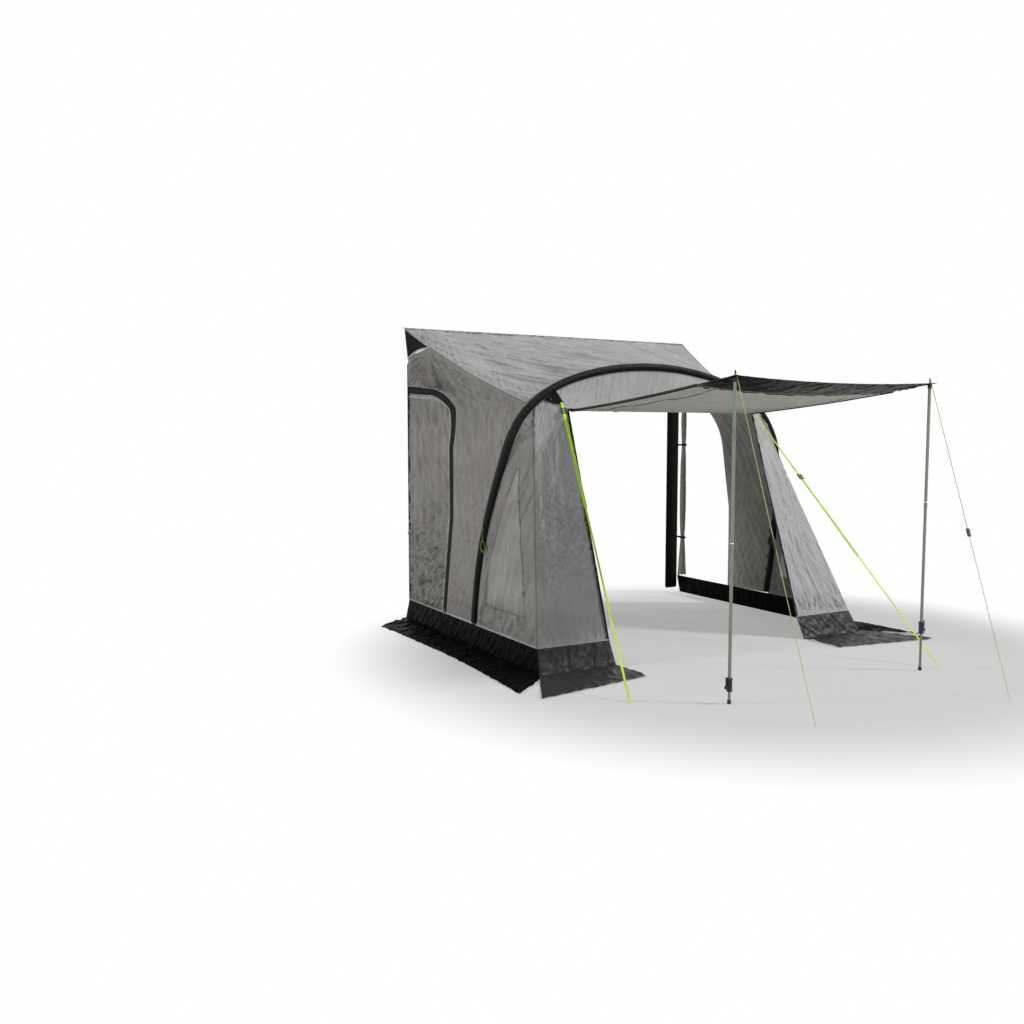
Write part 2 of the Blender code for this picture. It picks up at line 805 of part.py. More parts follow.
# doors
def zip_tape():
    half = ZIP_TAPE / 2.0
    grid = [zip_edge(s * half) for s in (-1.0, 0.0, 1.0)]
    low, high = grid[1][-1], grid[1][-ZIP_SLANT_STEPS - 1]
    cloth("left_door_zip", grid, "black", thick=2.0 * FABRIC)
    return low, high


def left_door(hinge):
    edge = [Vector((0.0, y, z)) for y, z in zip_line(-ZIP_TAPE / 2.0 - EDGE_GAP)]
    corner = ZIP_TOP_STEPS + ZIP_CORNER_STEPS // 2
    top = edge[:corner + 1]
    front = list(reversed(edge[corner:]))
    rear_y = -DOOR_REAR - HINGE_CLEAR
    top[0] = Vector((0.0, rear_y, top[0].z))
    rear_low = Vector((0.0, rear_y, SEAM_HEIGHT + EDGE_GAP))
    bottom = [rear_low, front[0]]
    rear = [rear_low, top[0]]
    cols, rows = 34, 9
    grid = []
    for r in range(rows + 1):
        v = r / rows
        row = []
        for c in range(cols + 1):
            u = c / cols
            p = along(bottom, u) * (1.0 - v) + along(top, u) * v
            p += along(rear, v) * (1.0 - u) + along(front, v) * u
            p -= bottom[0] * ((1.0 - u) * (1.0 - v)) + bottom[1] * (u * (1.0 - v))
            p -= top[0] * ((1.0 - u) * v) + top[-1] * (u * v)
            q = side_point(p.y, p.z)
            edge_fade = smooth(4.0 * u) * smooth(4.0 * (1.0 - u))
            depth = FOLD_HEIGHT * edge_fade * lerp(1.0, 0.35, v)
            wave = math.sin(2.0 * math.pi * FOLDS * u + 0.7 * math.sin(2.6 * v))
            q.x += depth * wave
            row.append(q)
        grid.append(row)
    door = cloth("left_door", grid, "side", origin=(-WALL_HALF, -DOOR_REAR, 0.0))
    ride(door, hinge)


def slider(low, high):
    """The zip slider and its puller, on the outer face of the tape's lower run."""
    up = (high - low).normalized()
    across = up.cross(X).normalized()
    out = across.cross(up).normalized()
    if out.x > 0:
        out = -out
    centre = low + up * SLIDER_LENGTH + out * (FABRIC + SEAM_GAP + SLIDER_THICK / 2.0)
    body = block("zip_slider", centre, (up, across, out),
                 (SLIDER_LENGTH, SLIDER_WIDTH, SLIDER_THICK), "clamp", origin=centre)
    hang = centre + out * (SLIDER_THICK / 2.0 - PULLER_THICK / 2.0)
    tab = block("pull_tab", hang - up * (PULLER_LENGTH / 2.0), (up, across, out),
                (PULLER_LENGTH, SLIDER_WIDTH / 2.0, PULLER_THICK), "clamp")
    tab.hide_render = True
    tab.display_type = "WIRE"
    boolean(body, tab, "UNION")
    return up


def rolled_door():
    """The right door rolled to its rear edge, held by two ties."""
    low, high = SEAM_HEIGHT + 0.6 * ROLL_RADIUS, DOOR_TOP_REAR - ROLL_RADIUS
    height_shares = [0.0, 0.03, 0.08, 0.14, 0.199, 0.229, 0.27, 0.38, 0.50, 0.62, 0.729, 0.759,
                     0.80, 0.87, 0.94, 1.0]
    swell_shares = [1.35, 1.28, 1.12, 0.92, 0.70, 0.70, 0.86, 1.0, 1.0, 0.90, 0.70, 0.70,
                    0.82, 0.88, 0.80, 0.70]
    sides = 20
    bm = bmesh.new()
    rings = []
    for h, s in zip(height_shares, swell_shares):
        z = lerp(low, high, h)
        x = WALL_HALF - ROLL_INSET
        ring = []
        for k in range(sides):
            a = 2.0 * math.pi * k / sides
            tied = 0.35 if s <= 0.70 else 1.0
            r = ROLL_RADIUS * s * (1.0 + 0.16 * tied * math.cos(ROLL_PLEATS * a + 1.1 * h))
            ring.append(bm.verts.new((x + 0.8 * r * math.cos(a), -ROLL_DEPTH + r * math.sin(a), z)))
        rings.append(ring)
    for a, b in zip(rings, rings[1:]):
        for k in range(sides):
            m = (k + 1) % sides
            bm.faces.new([a[k], a[m], b[m], b[k]])
    bm.faces.new(list(reversed(rings[0])))
    bm.faces.new(rings[-1])
    finish("right_door_roll", bm, "side", smooth_angle=60)
    for name, h in (("lower_door_tie", 0.214), ("upper_door_tie", 0.744)):
        z = lerp(low, high, h)
        inner = ROLL_RADIUS * 0.70 * (1.0 + 0.16 * 0.35) + SEAM_GAP
        half = TIE_HEIGHT / 2.0
        loop = [(inner, -half), (inner + TIE_THICK, -half), (inner + TIE_THICK, half), (inner, half)]
        tie = lathe(name, loop, "black", (WALL_HALF - ROLL_INSET, -ROLL_DEPTH, z), sides=20)
        near = -ROLL_DEPTH + inner + 0.5 * TIE_THICK
        far = -PAD_DEPTH - SEAM_GAP
        tab = cutter(name + "_tab", (WALL_HALF - ROLL_INSET, lerp(near, far, 0.5), z), (X, Y, Z),
                     (TIE_THICK, far - near, TIE_HEIGHT - TIE_THICK))
        boolean(tie, tab, "UNION")


# mud walls and skirts
def mud(side):
    name = "left" if side < 0 else "right"
    top_z = SEAM_HEIGHT - EDGE_GAP
    low_z = SKIRT_THICK + 2.0 * SEAM_GAP
    corner_top = Vector((-WALL_HALF, -FRONT_DEPTH, top_z))
    corner_low = Vector((-WALL_HALF - MUD_FLARE_SIDE, -FRONT_DEPTH - MUD_FLARE_FRONT, low_z))
    rear_top = Vector((-WALL_HALF, -DOOR_REAR, top_z))
    rear_low = Vector((corner_low.x, -DOOR_REAR, low_z))
    end_top = Vector((-OPENING_HALF, -FRONT_DEPTH, top_z))
    end_low = Vector((-OPENING_HALF, corner_low.y, low_z))
    side_rows, front_rows = [], []
    for a, b, rows, n in ((rear_top, corner_top, side_rows, 8), (corner_top, end_top, front_rows, 4)):
        c = rear_low if rows is side_rows else corner_low
        d = corner_low if rows is side_rows else end_low
        rows.append([c.lerp(d, k / n) for k in range(n + 1)])
        rows.append([a.lerp(b, k / n) for k in range(n + 1)])
    for row in side_rows:
        row[-1] = row[-1] + Y * EDGE_GAP
    for row in front_rows:
        row[0] = row[0] + X * EDGE_GAP
    skirt_z = SKIRT_THICK / 2.0
    inner_x = corner_low.x + SKIRT_UNDER
    inner_y = corner_low.y + SKIRT_UNDER
    # the two flaps run side by side from the corner to this point and part there
    join = Vector((corner_low.x - SKIRT_JOIN, corner_low.y - SKIRT_JOIN_FRONT, skirt_z))
    side_skirt, front_skirt = [], []
    for k in range(9):
        t = k / 8
        inner = Vector((inner_x, lerp(-DOOR_REAR, inner_y + EDGE_GAP, t), skirt_z))
        reach = SKIRT_SIDE + SKIRT_FLARE * (2.0 * t - 1.0) ** 2
        outer = Vector((corner_low.x - reach, lerp(-SKIRT_CUT, corner_low.y - SKIRT_TIP, t), skirt_z))
        middle = join + Y * EDGE_GAP if k == 8 else inner.lerp(outer, SKIRT_JOIN / SKIRT_SIDE)
        side_skirt.append([inner, middle, outer])
    for k in range(5):
        t = k / 4
        inner = Vector((lerp(inner_x, -OPENING_HALF, t), inner_y, skirt_z))
        reach = lerp(SKIRT_FRONT_TIP, SKIRT_FRONT, t)
        outer = Vector((lerp(corner_low.x - SKIRT_FRONT_REACH, -OPENING_HALF, t),
                        corner_low.y - reach, skirt_z))
        middle = join - Y * EDGE_GAP if k == 0 else inner.lerp(outer, SKIRT_JOIN_FRONT / SKIRT_FRONT)
        front_skirt.append([inner, middle, outer])
    grids = {
        "_side_mud_wall": (side_rows, FABRIC),
        "_front_mud_wall": (front_rows, FABRIC),
        "_side_skirt": (side_skirt, SKIRT_THICK),
        "_front_skirt": (front_skirt, SKIRT_THICK),
    }
    for tail, (grid, thick) in grids.items():
        if side > 0:
            grid = mirror_grid(grid)
        cloth(name + tail, grid, "plastic_sheet", thick=thick)


# canopy
def canopy(hinge):
    cols = 10
    start = HINGE_CLEAR
    seam = CANOPY_LENGTH - FLAP_LENGTH
    grid = []
    for r in range(10):
        s = lerp(start, seam - EDGE_GAP / 2.0, r / 9)
        grid.append([canopy_point(CANOPY_HALF * (2.0 * c / cols - 1.0), s) for c in range(cols + 1)])
    sheet = cloth("canopy_sheet", grid, "canopy", origin=HINGE)
    ride(sheet, hinge)
    notch = [-CANOPY_HALF, -POLE_HALF - NOTCH / 2.0, -POLE_HALF + NOTCH / 2.0]
    xs = notch + [CANOPY_HALF * (c / 4.0) for c in range(-3, 4)] + [-x for x in reversed(notch)]
    inner = CANOPY_TO_POLE - NOTCH / 2.0
    ss = [seam + EDGE_GAP / 2.0, lerp(seam, inner, 0.35), lerp(seam, inner, 0.7), inner, CANOPY_LENGTH]
    last = len(xs) - 2
    grid = [[canopy_point(x, s) for x in xs] for s in ss]

    def hole(i, j):
        return i == len(ss) - 2 and j in (1, last - 1)

    flap = cloth("canopy_flap", grid, "plastic_sheet", hole=hole, origin=HINGE)
    ride(flap, hinge)


# poles
def pole(side, joint_z, clamp_z, lever_side):
    name = "left" if side < 0 else "right"
    base = Vector((side * POLE_HALF, -POLE_DEPTH, 0.0))
    head = Vector((base.x, base.y, PIVOT_HEIGHT))
    fold = pivot(name + "_pole_fold", head)
    bore = TUBE_RADIUS - TUBE_WALL
    fit = SLIDE_CLEAR
    rim_angle = math.asin(TUBE_RADIUS / DOME_RADIUS)
    spike_angle = math.asin(SPIKE_RADIUS / DOME_RADIUS)
    top = PIVOT_HEIGHT + DOME_RADIUS * math.cos(rim_angle)

    # tip: a plug in the tube, a dome about the fold's axis and the spike through the eyelet
    spike_top = EYELET_HEIGHT + SPIKE_RISE
    dome = []
    for k in range(4):
        a = lerp(rim_angle, spike_angle, k / 3)
        dome.append((DOME_RADIUS * math.sin(a), PIVOT_HEIGHT + DOME_RADIUS * math.cos(a)))
    tip = [
        (0.0, top - PLUG_DEPTH - fit), (bore - fit, top - PLUG_DEPTH - fit),
        (bore - fit, top - TUBE_RADIUS), (TUBE_RADIUS, top - TUBE_RADIUS),
        *dome, (SPIKE_RADIUS, spike_top - SPIKE_RADIUS),
        (0.5 * SPIKE_RADIUS, spike_top), (0.0, spike_top),
    ]
    ride(lathe(name + "_pole_tip", tip, "clamp", base, origin=head), fold)

    upper = [(TUBE_RADIUS, joint_z - SOCKET_DEPTH + fit), (TUBE_RADIUS, top - TUBE_RADIUS - fit),
             (bore, top - TUBE_RADIUS - fit), (bore, joint_z - SOCKET_DEPTH + fit)]
    ride(lathe(name + "_pole_upper", upper, "steel", base, origin=head), fold)

    # the middle tube has a swaged socket at its top and its bore takes the lower tube
    socket = TUBE_RADIUS + fit
    low = clamp_z + CLAMP_HEIGHT - CLAMP_GRIP
    middle = [
        (bore, low), (TUBE_RADIUS, low), (TUBE_RADIUS, joint_z - SOCKET_DEPTH - TUBE_WALL),
        (socket + TUBE_WALL, joint_z - SOCKET_DEPTH), (socket + TUBE_WALL, joint_z),
        (socket, joint_z), (socket, joint_z - SOCKET_DEPTH), (bore, joint_z - SOCKET_DEPTH),
    ]
    ride(lathe(name + "_pole_middle", middle, "steel", base, origin=head), fold)

    slim = bore - fit
    loop = [
        (slim + fit, clamp_z), (CLAMP_RADIUS, clamp_z), (CLAMP_RADIUS, clamp_z + CLAMP_HEIGHT - fit),
        (CLAMP_RADIUS - TUBE_WALL, clamp_z + CLAMP_HEIGHT), (TUBE_RADIUS + fit, clamp_z + CLAMP_HEIGHT),
        (TUBE_RADIUS + fit, low - fit), (slim + fit, low - fit),
    ]
    clamp = lathe(name + "_pole_clamp", loop, "clamp", base, origin=head)
    pin_z = clamp_z + 0.3 * CLAMP_HEIGHT
    pin_x = base.x + lever_side * (CLAMP_RADIUS + EAR_REACH / 2.0)
    gap = LEVER_WIDTH / 2.0 + SEAM_GAP
    for n in (-1.0, 1.0):
        centre = Vector((base.x + lever_side * (CLAMP_RADIUS + EAR_REACH / 2.0 - EAR_THICK / 2.0),
                         base.y + n * (gap + EAR_THICK / 2.0), pin_z))
        ear = cutter(name + "_ear_%d" % (1 if n < 0 else 2), centre, (X, Y, Z),
                     (EAR_REACH + EAR_THICK, EAR_THICK, EAR_SPAN))
        boolean(clamp, ear, "UNION")
    ride(clamp, fold)

    # lever: a flat bar beside the clamp, turning on a pin between the two ears
    turn = Vector((pin_x, base.y, pin_z))
    swing = pivot(name + "_lever_pivot", turn)
    ride(swing, fold)
    bar_x = base.x + lever_side * (CLAMP_RADIUS + SEAM_GAP + EAR_REACH / 2.0)
    tail = EAR_REACH / 2.0 - LEVER_THICK / 2.0
    centre = Vector((bar_x, base.y, pin_z + LEVER_LENGTH / 2.0 - tail))
    lever = block(name + "_clamp_lever", centre, (X, Y, Z),
                  (LEVER_THICK, LEVER_WIDTH, LEVER_LENGTH), "clamp", origin=turn)
    lever.parent = swing
    lever.location = (0.0, 0.0, 0.0)

    # lower tube and its foot slide together in the middle tube
    slide = pivot(name + "_pole_slide", Vector((base.x, base.y, clamp_z)))
    ride(slide, fold)
    lower_wall = slim - TUBE_WALL
    tube_low = FOOT_FLOOR + fit
    tube_top = clamp_z + LOWER_OVERLAP
    lower = [(lower_wall, tube_low), (slim - fit, tube_low), (slim - fit, tube_top), (lower_wall, tube_top)]
    at = Vector((base.x, base.y, clamp_z))
    for obj in (
        lathe(name + "_pole_lower", lower, "steel", base, origin=at),
        lathe(name + "_pole_foot", [
            (0.0, 0.0), (FOOT_RADIUS - TUBE_WALL, 0.0), (FOOT_RADIUS, TUBE_WALL),
            (FOOT_RADIUS, FOOT_HEIGHT - TUBE_WALL), (FOOT_RADIUS - TUBE_WALL, FOOT_HEIGHT),
            (slim, FOOT_HEIGHT), (slim, FOOT_FLOOR), (0.0, FOOT_FLOOR),
        ], "clamp", base, origin=at),
    ):
        obj.parent = slide
        obj.location = (0.0, 0.0, 0.0)


# straps, ropes, spare cord
LEFT_STRAP_END = Vector((-1.295, -2.991, 0.0))
RIGHT_STRAP_END = Vector((0.976, -3.301, 0.0))
ANCHOR_ACROSS_SHARE = 0.965
ANCHOR_UP_SHARE = 0.38
ANCHOR_LAP_SHARE = 0.05
GUSSET_HEAD_SHARES = (0.45, 1.0)
GUSSET_UP_SHARE = 0.96


def over_header(across, up, lift):
    """A point over the header's left end: shares across and up it, off its face."""
    ends = header_columns()[:(OPENING_ANGLE - SHOULDER) // ARC_STEP + 1]
    lows, highs = [c[0] for c in ends], [c[1] for c in ends]
    low, high = along(lows, across), along(highs, across)
    sideways = (lows[-1] - lows[0]).lerp(highs[-1] - highs[0], up)
    out = sideways.cross(high - low).normalized()
    return low.lerp(high, up) + out * lift


GUSSET_LIFT = 1.7 * FABRIC + SEAM_GAP


def strap_start(end):
    """Where the left strap starts, so that its end's nearest corner clears its gusset."""
    up = ANCHOR_UP_SHARE + ANCHOR_LAP_SHARE
    face = over_header(ANCHOR_ACROSS_SHARE, up, 0.0)
    out = over_header(ANCHOR_ACROSS_SHARE, up, 1.0) - face
    d, across, flat = strap_axes(face, end)
    reach = abs(across.dot(out)) * STRAP_WIDTH / 2.0 + abs(flat.dot(out)) * STRAP_THICK / 2.0
    return face + out * (GUSSET_LIFT + FABRIC / 2.0 + SEAM_GAP + reach)


def strap_axes(start, end):
    """Unit vectors along a strap, across its width and out of its face."""
    d = (end - start).normalized()
    across = d.cross(Z).normalized()
    return d, across, d.cross(across).normalized()


def anchor_gusset(side):
    """A black triangle from the sleeve down to the strap's anchor."""
    half = STRAP_WIDTH / 2.0 / (OPENING_HEAD - CORNER_TOP).length
    grid = []
    for r in range(5):
        t = r / 4
        left = lerp(ANCHOR_ACROSS_SHARE - half, GUSSET_HEAD_SHARES[0], t)
        right = lerp(ANCHOR_ACROSS_SHARE + half, GUSSET_HEAD_SHARES[1], t)
        up = lerp(ANCHOR_UP_SHARE, GUSSET_UP_SHARE, t)
        grid.append([over_header(lerp(left, right, c / 3), up, GUSSET_LIFT) for c in range(4)])
    if side > 0:
        grid = mirror_grid(grid)
    cloth(("left" if side < 0 else "right") + "_anchor_gusset", grid, "black")


def strap(side, end, buckle_share):
    name = "left" if side < 0 else "right"
    start = strap_start(end) if side < 0 else flip(strap_start(flip(end)))
    d, across, face = strap_axes(start, end)
    length = (end - start).length
    split = length * buckle_share
    buckle_mid = start + d * split
    half = BUCKLE_LENGTH / 2.0
    bar = BUCKLE_LENGTH - 2.0 * BUCKLE_RIM
    a = start + d * SEAM_GAP
    b = buckle_mid - d * (SEAM_GAP + BUCKLE_RIM / 2.0)
    block(name + "_strap_upper", a.lerp(b, 0.5), (d, across, face),
          ((b - a).length, STRAP_WIDTH, STRAP_THICK), "lime")
    # the buckle's frame has a bar across its middle
    wide = STRAP_WIDE + 2.0 * BUCKLE_RIM + 2.0 * EDGE_GAP
    frame = block(name + "_strap_buckle", buckle_mid, (d, across, face),
                  (BUCKLE_LENGTH, wide, BUCKLE_THICK), "clamp")
    slot = (bar - BUCKLE_RIM) / 2.0
    for n in (-1.0, 1.0):
        centre = buckle_mid + d * (n * (BUCKLE_RIM / 2.0 + slot / 2.0))
        hole = cutter(name + "_slot_%d" % (1 if n < 0 else 2), centre, (d, across, face),
                      (slot, wide - 2.0 * BUCKLE_RIM, 2.0 * BUCKLE_THICK))
        boolean(frame, hole, "DIFFERENCE")
    # the upper webbing enters through the frame's upper side
    for n, width in ((-1.0, STRAP_WIDTH), (1.0, STRAP_WIDE)):
        centre = buckle_mid + d * (n * half)
        gate = cutter(name + "_gate_%d" % (1 if n < 0 else 2), centre, (d, across, face),
                      (4.0 * BUCKLE_RIM, width + 2.0 * SEAM_GAP, STRAP_THICK + 2.0 * SEAM_GAP))
        boolean(frame, gate, "DIFFERENCE")
    c = buckle_mid + d * (SEAM_GAP + BUCKLE_RIM / 2.0)
    drop = STRAP_WIDE / 2.0 * abs(across.z) + STRAP_THICK
    stop = length - drop / max(-d.z, FABRIC)
    e = start + d * stop
    block(name + "_strap_lower", c.lerp(e, 0.5), (d, across, face),
          ((e - c).length, STRAP_WIDE, STRAP_THICK), "lime")


LEFT_ROPE_END = Vector((-0.70, -3.82, 0.0))
RIGHT_ROPE_END = Vector((0.667, -3.998, 0.0))


def rope(side, end):
    name = "left" if side < 0 else "right"
    top = Vector((side * POLE_HALF, -POLE_DEPTH, EYELET_HEIGHT + 0.6 * SPIKE_RISE))
    stop = Vector((end.x, end.y, ROPE_RADIUS))
    d = (stop - top).normalized()
    flat = Vector((d.x, d.y, 0.0)).normalized()
    start = top + flat * ((SPIKE_RADIUS + ROPE_RADIUS + SEAM_GAP) / 1.0)
    d = (stop - start).normalized()
    n = 24
    points = [start.lerp(stop, k / n) for k in range(n + 1)]
    cord(name + "_guy_rope", points, ROPE_RADIUS, "rope")
    # the runner is a flat plate that the rope runs through
    middle = start.lerp(stop, RUNNER_SHARE)
    across = d.cross(Z).normalized()
    face = d.cross(across).normalized()
    plate = block(name + "_runner", middle, (d, across, face),
                  (RUNNER_LENGTH, RUNNER_WIDTH, RUNNER_THICK), "clamp", origin=middle)
    hole = cutter(name + "_runner_bore", middle, (d, across, face),
                  (2.0 * RUNNER_LENGTH, 2.0 * (ROPE_RADIUS + SEAM_GAP), 2.0 * (ROPE_RADIUS + SEAM_GAP)))
    boolean(plate, hole, "DIFFERENCE")


HANK_WAY_SHARES = (-0.48, -0.88)


def outside_leg(z):
    """The point just off the left leg's faceted sleeve, on its outer side, at a height."""
    i = max(k for k in range(LEG_STEPS) if BEAM[k].z <= z)
    leg = BEAM[i].lerp(BEAM[i + 1], (z - BEAM[i].z) / (BEAM[i + 1].z - BEAM[i].z))
    n, b = frame_along(BEAM)[i]
    facet = 2.0 * math.pi / SLEEVE_SIDES
    turned = math.atan2(-X.dot(b), -X.dot(n)) % facet - facet / 2.0
    reach = SLEEVE_RADIUS * math.cos(facet / 2.0) / math.cos(turned)
    return Vector((leg.x - reach - SEAM_GAP, leg.y, z))


def hank():
    """The spare cord: a run down from the sleeve, oval turns side by side and a tail."""
    thick = 2.0 * HANK_CORD
    knot = outside_leg(HANK_KNOT)
    points = [knot, knot - X * thick]
    steps = 5
    for k in range(1, steps + 1):
        a = math.radians(90.0 * k / steps)
        points.append(points[1] - X * (HANK_BEND * math.sin(a)) - Z * (HANK_BEND * (1.0 - math.cos(a))))
    # the turns lie in planes that face away from the corner and step outwards
    way = Vector((*HANK_WAY_SHARES, 0.0)).normalized()
    across = Z.cross(way)
    line = points[-1].copy()

    def place(sideways, height, depth):
        return Vector((line.x, line.y, height)) + across * sideways + way * depth

    lead_top = HANK_MIDDLE + HANK_LEAD
    count = int((line.z - HANK_END) / (2.0 * thick))
    drops = [lerp(line.z, HANK_MIDDLE, k / count) for k in range(1, count)]
    points += [place(-HANK_HALF * smooth((lead_top - z) / HANK_LEAD), z, 0.0) for z in drops]
    per_loop = 24
    for k in range(HANK_LOOPS * per_loop + 1):
        turn = k / per_loop
        s, c = math.sin(2.0 * math.pi * turn), math.cos(2.0 * math.pi * turn)
        high = -HANK_TALL * math.copysign(abs(s) ** 0.75, s)
        wide = -HANK_HALF * math.copysign(abs(c) ** 0.6, c)
        points.append(place(wide, HANK_MIDDLE + high, HANK_STEP * turn))
    count = int((HANK_MIDDLE - HANK_END) / (2.0 * thick))
    for k in range(1, count + 1):
        z = lerp(HANK_MIDDLE, HANK_END, k / count)
        share = smooth((HANK_MIDDLE - z) / HANK_LEAD)
        points.append(place(lerp(-HANK_HALF, HANK_TAIL_SIDE, share), z, HANK_STEP * HANK_LOOPS))
    fine = [a.lerp(b, n / 4) for a, b in zip(points, points[1:]) for n in range(4)]
    apart = 2 * per_loop
    least = min((fine[i] - fine[j]).length for i in range(len(fine)) for j in range(i + apart, len(fine)))
    length = sum((b - a).length for a, b in zip(points, points[1:]))
    print("spare cord: %.2f m, least gap to itself %.2f mm" % (length, (least - thick) * 1000.0))
    cord("spare_cord_hank", points, HANK_CORD, "lime", resolution=1)


roof()
header()
bead()
beam()
side_panels()
for half in (-1, 1):
    window_panel(half)
    front_wing(half)
    corner_gusset(half)
    wall_pad(half)
    mud(half)
    anchor_gusset(half)
door_hinge = pivot("door_hinge", (-WALL_HALF, -DOOR_REAR, 0.0))
tape_low, tape_high = zip_tape()
left_door(door_hinge)
slider(tape_low, tape_high)
rolled_door()
canopy_hinge = pivot("canopy_hinge", HINGE)
canopy(canopy_hinge)
pole(-1, LEFT_JOINT, LEFT_CLAMP, -1)
pole(1, RIGHT_JOINT, RIGHT_CLAMP, 1)
strap(-1, LEFT_STRAP_END, LEFT_BUCKLE_SHARE)
strap(1, RIGHT_STRAP_END, RIGHT_BUCKLE_SHARE)
rope(-1, LEFT_ROPE_END)
rope(1, RIGHT_ROPE_END)
hank()
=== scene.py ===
"""Caravan awning: the cloth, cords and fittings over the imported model.

The wall frame used here has y = 0 on the caravan's wall and -y outwards; WALL_Y
moves it into the row's frame.  All lengths are in metres.
"""

import json
import math

import bpy
import numpy as np
from bpy.props import FloatProperty, FloatVectorProperty, PointerProperty
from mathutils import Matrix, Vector

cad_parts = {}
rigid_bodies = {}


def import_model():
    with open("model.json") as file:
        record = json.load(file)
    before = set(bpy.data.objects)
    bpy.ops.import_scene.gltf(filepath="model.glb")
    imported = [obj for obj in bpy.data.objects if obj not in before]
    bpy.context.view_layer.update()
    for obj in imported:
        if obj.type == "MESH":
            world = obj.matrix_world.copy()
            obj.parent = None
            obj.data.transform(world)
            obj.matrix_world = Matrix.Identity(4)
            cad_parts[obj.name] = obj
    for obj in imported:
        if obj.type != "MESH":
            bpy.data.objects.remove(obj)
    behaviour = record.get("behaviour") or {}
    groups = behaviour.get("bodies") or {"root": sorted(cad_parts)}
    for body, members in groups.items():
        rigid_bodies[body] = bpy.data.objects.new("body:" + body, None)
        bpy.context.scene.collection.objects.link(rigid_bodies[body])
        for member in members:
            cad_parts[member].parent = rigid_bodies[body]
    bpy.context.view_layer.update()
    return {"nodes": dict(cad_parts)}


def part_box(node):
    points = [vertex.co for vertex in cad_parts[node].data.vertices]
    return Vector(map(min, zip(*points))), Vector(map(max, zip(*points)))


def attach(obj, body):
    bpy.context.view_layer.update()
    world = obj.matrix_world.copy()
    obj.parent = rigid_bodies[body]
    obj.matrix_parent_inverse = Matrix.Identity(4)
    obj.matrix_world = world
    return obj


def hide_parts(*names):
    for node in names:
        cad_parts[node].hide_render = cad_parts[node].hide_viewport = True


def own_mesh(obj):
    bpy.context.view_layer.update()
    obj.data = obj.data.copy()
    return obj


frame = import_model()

bl_info = {
    "name": "Caravan awning",
    "version": (1, 0, 0),
    "blender": (4, 5, 0),
    "location": "View3D > Sidebar > Awning",
    "description": "Builds the cloth, cords and fittings of an air-beam caravan awning",
    "category": "Add Mesh",
}

# sizes that the solids have too
WALL_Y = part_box("left_wall_pad")[1][1]
CLOTH, SEAM_GAP, EDGE_GAP, HINGE_CLEAR = 0.0012, 0.0004, 0.0007, 0.0008
RAIL_HALF, RAIL_HEIGHT, BEAD_RADIUS = 1.44, 2.40, 0.004
WALL_HALF, SEAM_HEIGHT, FRONT_DEPTH = 1.41, 0.163, 2.14
OPENING_HALF, HINGE_HEIGHT, HINGE_DEPTH = 0.855, 1.697, 1.615
CORNER_DROP, EAVE_SAG, ROOF_SAG = 0.275, 0.043, 0.02
BEAM_FOOT_DEPTH, SPRING_HALF, ARCH_HALF = 1.24, 1.262, 1.27
SHOULDER_LEAN, LEG_BOW, SPRING_DEPTH, SPRING_HEIGHT = 0.22, 0.055, 1.462, 1.43
CROWN_DEPTH, CROWN_HEIGHT, SLEEVE_RADIUS = 1.45, 2.04, 0.028
PAD_WIDTH, PAD_DEPTH, PAD_FOOT, PAD_TOP = 0.135, 0.020, 0.045, 2.12
GUSSET_REACH, GUSSET_DROP, SHOULDER, OPENING_ANGLE = 0.33, 0.23, 30.0, 45.0
DOOR_REAR, DOOR_TOP_REAR, DOOR_TOP_FRONT = 0.0208, 1.897, 1.874
DOOR_CORNER_START, DOOR_CORNER_FRONT, DOOR_CORNER_END = 0.27, 0.70, 1.45
DOOR_WIDEST, DOOR_SLANT_START, DOOR_FOOT, ZIP_TAPE = 0.765, 0.88, 0.72, 0.056
MUD_FLARE_SIDE, MUD_FLARE_FRONT = 0.035, 0.085
SKIRT_SIDE, SKIRT_FLARE, SKIRT_CUT, SKIRT_TIP = 0.275, 0.05, 0.28, 0.32
SKIRT_FRONT, SKIRT_FRONT_TIP, SKIRT_FRONT_REACH = 0.335, 0.47, 0.26
SKIRT_JOIN, SKIRT_JOIN_FRONT, SKIRT_UNDER = 0.06, 0.104, 0.012
CANOPY_HALF, CANOPY_RISE, POLE_DEPTH = 0.838, math.radians(5.3), 3.276
CANOPY_EDGE, CANOPY_SAG, FLAP_LENGTH, POLE_HALF = 0.030, 0.045, 0.33, 0.81
LEFT_JOINT, RIGHT_JOINT, SPIKE_RISE = 0.917, 1.095, 0.036
WINDOW_LOW, WINDOW_HIGH = 0.10, 0.715
ROLL_RADIUS, ROLL_INSET, ROLL_DEPTH = 0.033, 0.005, 0.105
LEFT_BUCKLE_SHARE, RIGHT_BUCKLE_SHARE, BUCKLE_GAP = 0.035, 0.31, 0.004
CORD_KNOT = np.array([-1.40250, -1.37089, 0.91])
HANK_MIDDLE, HANK_END, HANK_BEND, HANK_TALL, HANK_HALF = 0.74, 0.632, 0.0065, 0.038, 0.013
HANK_STEP, HANK_LEAD, HANK_TAIL_SIDE, HANK_LOOPS, CORD_THICK = 0.0047, 0.060, 0.012, 5, 0.003
ROPES = {-1: ((-0.8087, -1.6282, 1.8727), (-0.7, -2.1659, 0.002)),
         1: ((0.8088, -1.6282, 1.8727), (0.667, -2.3439, 0.002))}
STRAPS = {-1: ((-0.87506, -1.55931, 1.75823), (-1.295, -2.991, 0.0)),
          1: ((0.87588, -1.56038, 1.75912), (0.976, -3.301, 0.0))}


# small numeric helpers
def shares(count):
    return np.linspace(0.0, 1.0, count)


def smooth(t):
    t = np.clip(t, 0.0, 1.0)
    return t * t * (3.0 - 2.0 * t)


def near(distance, reach):
    """1 at no distance, dying away over `reach`."""
    return np.exp(-(distance / reach) ** 2)


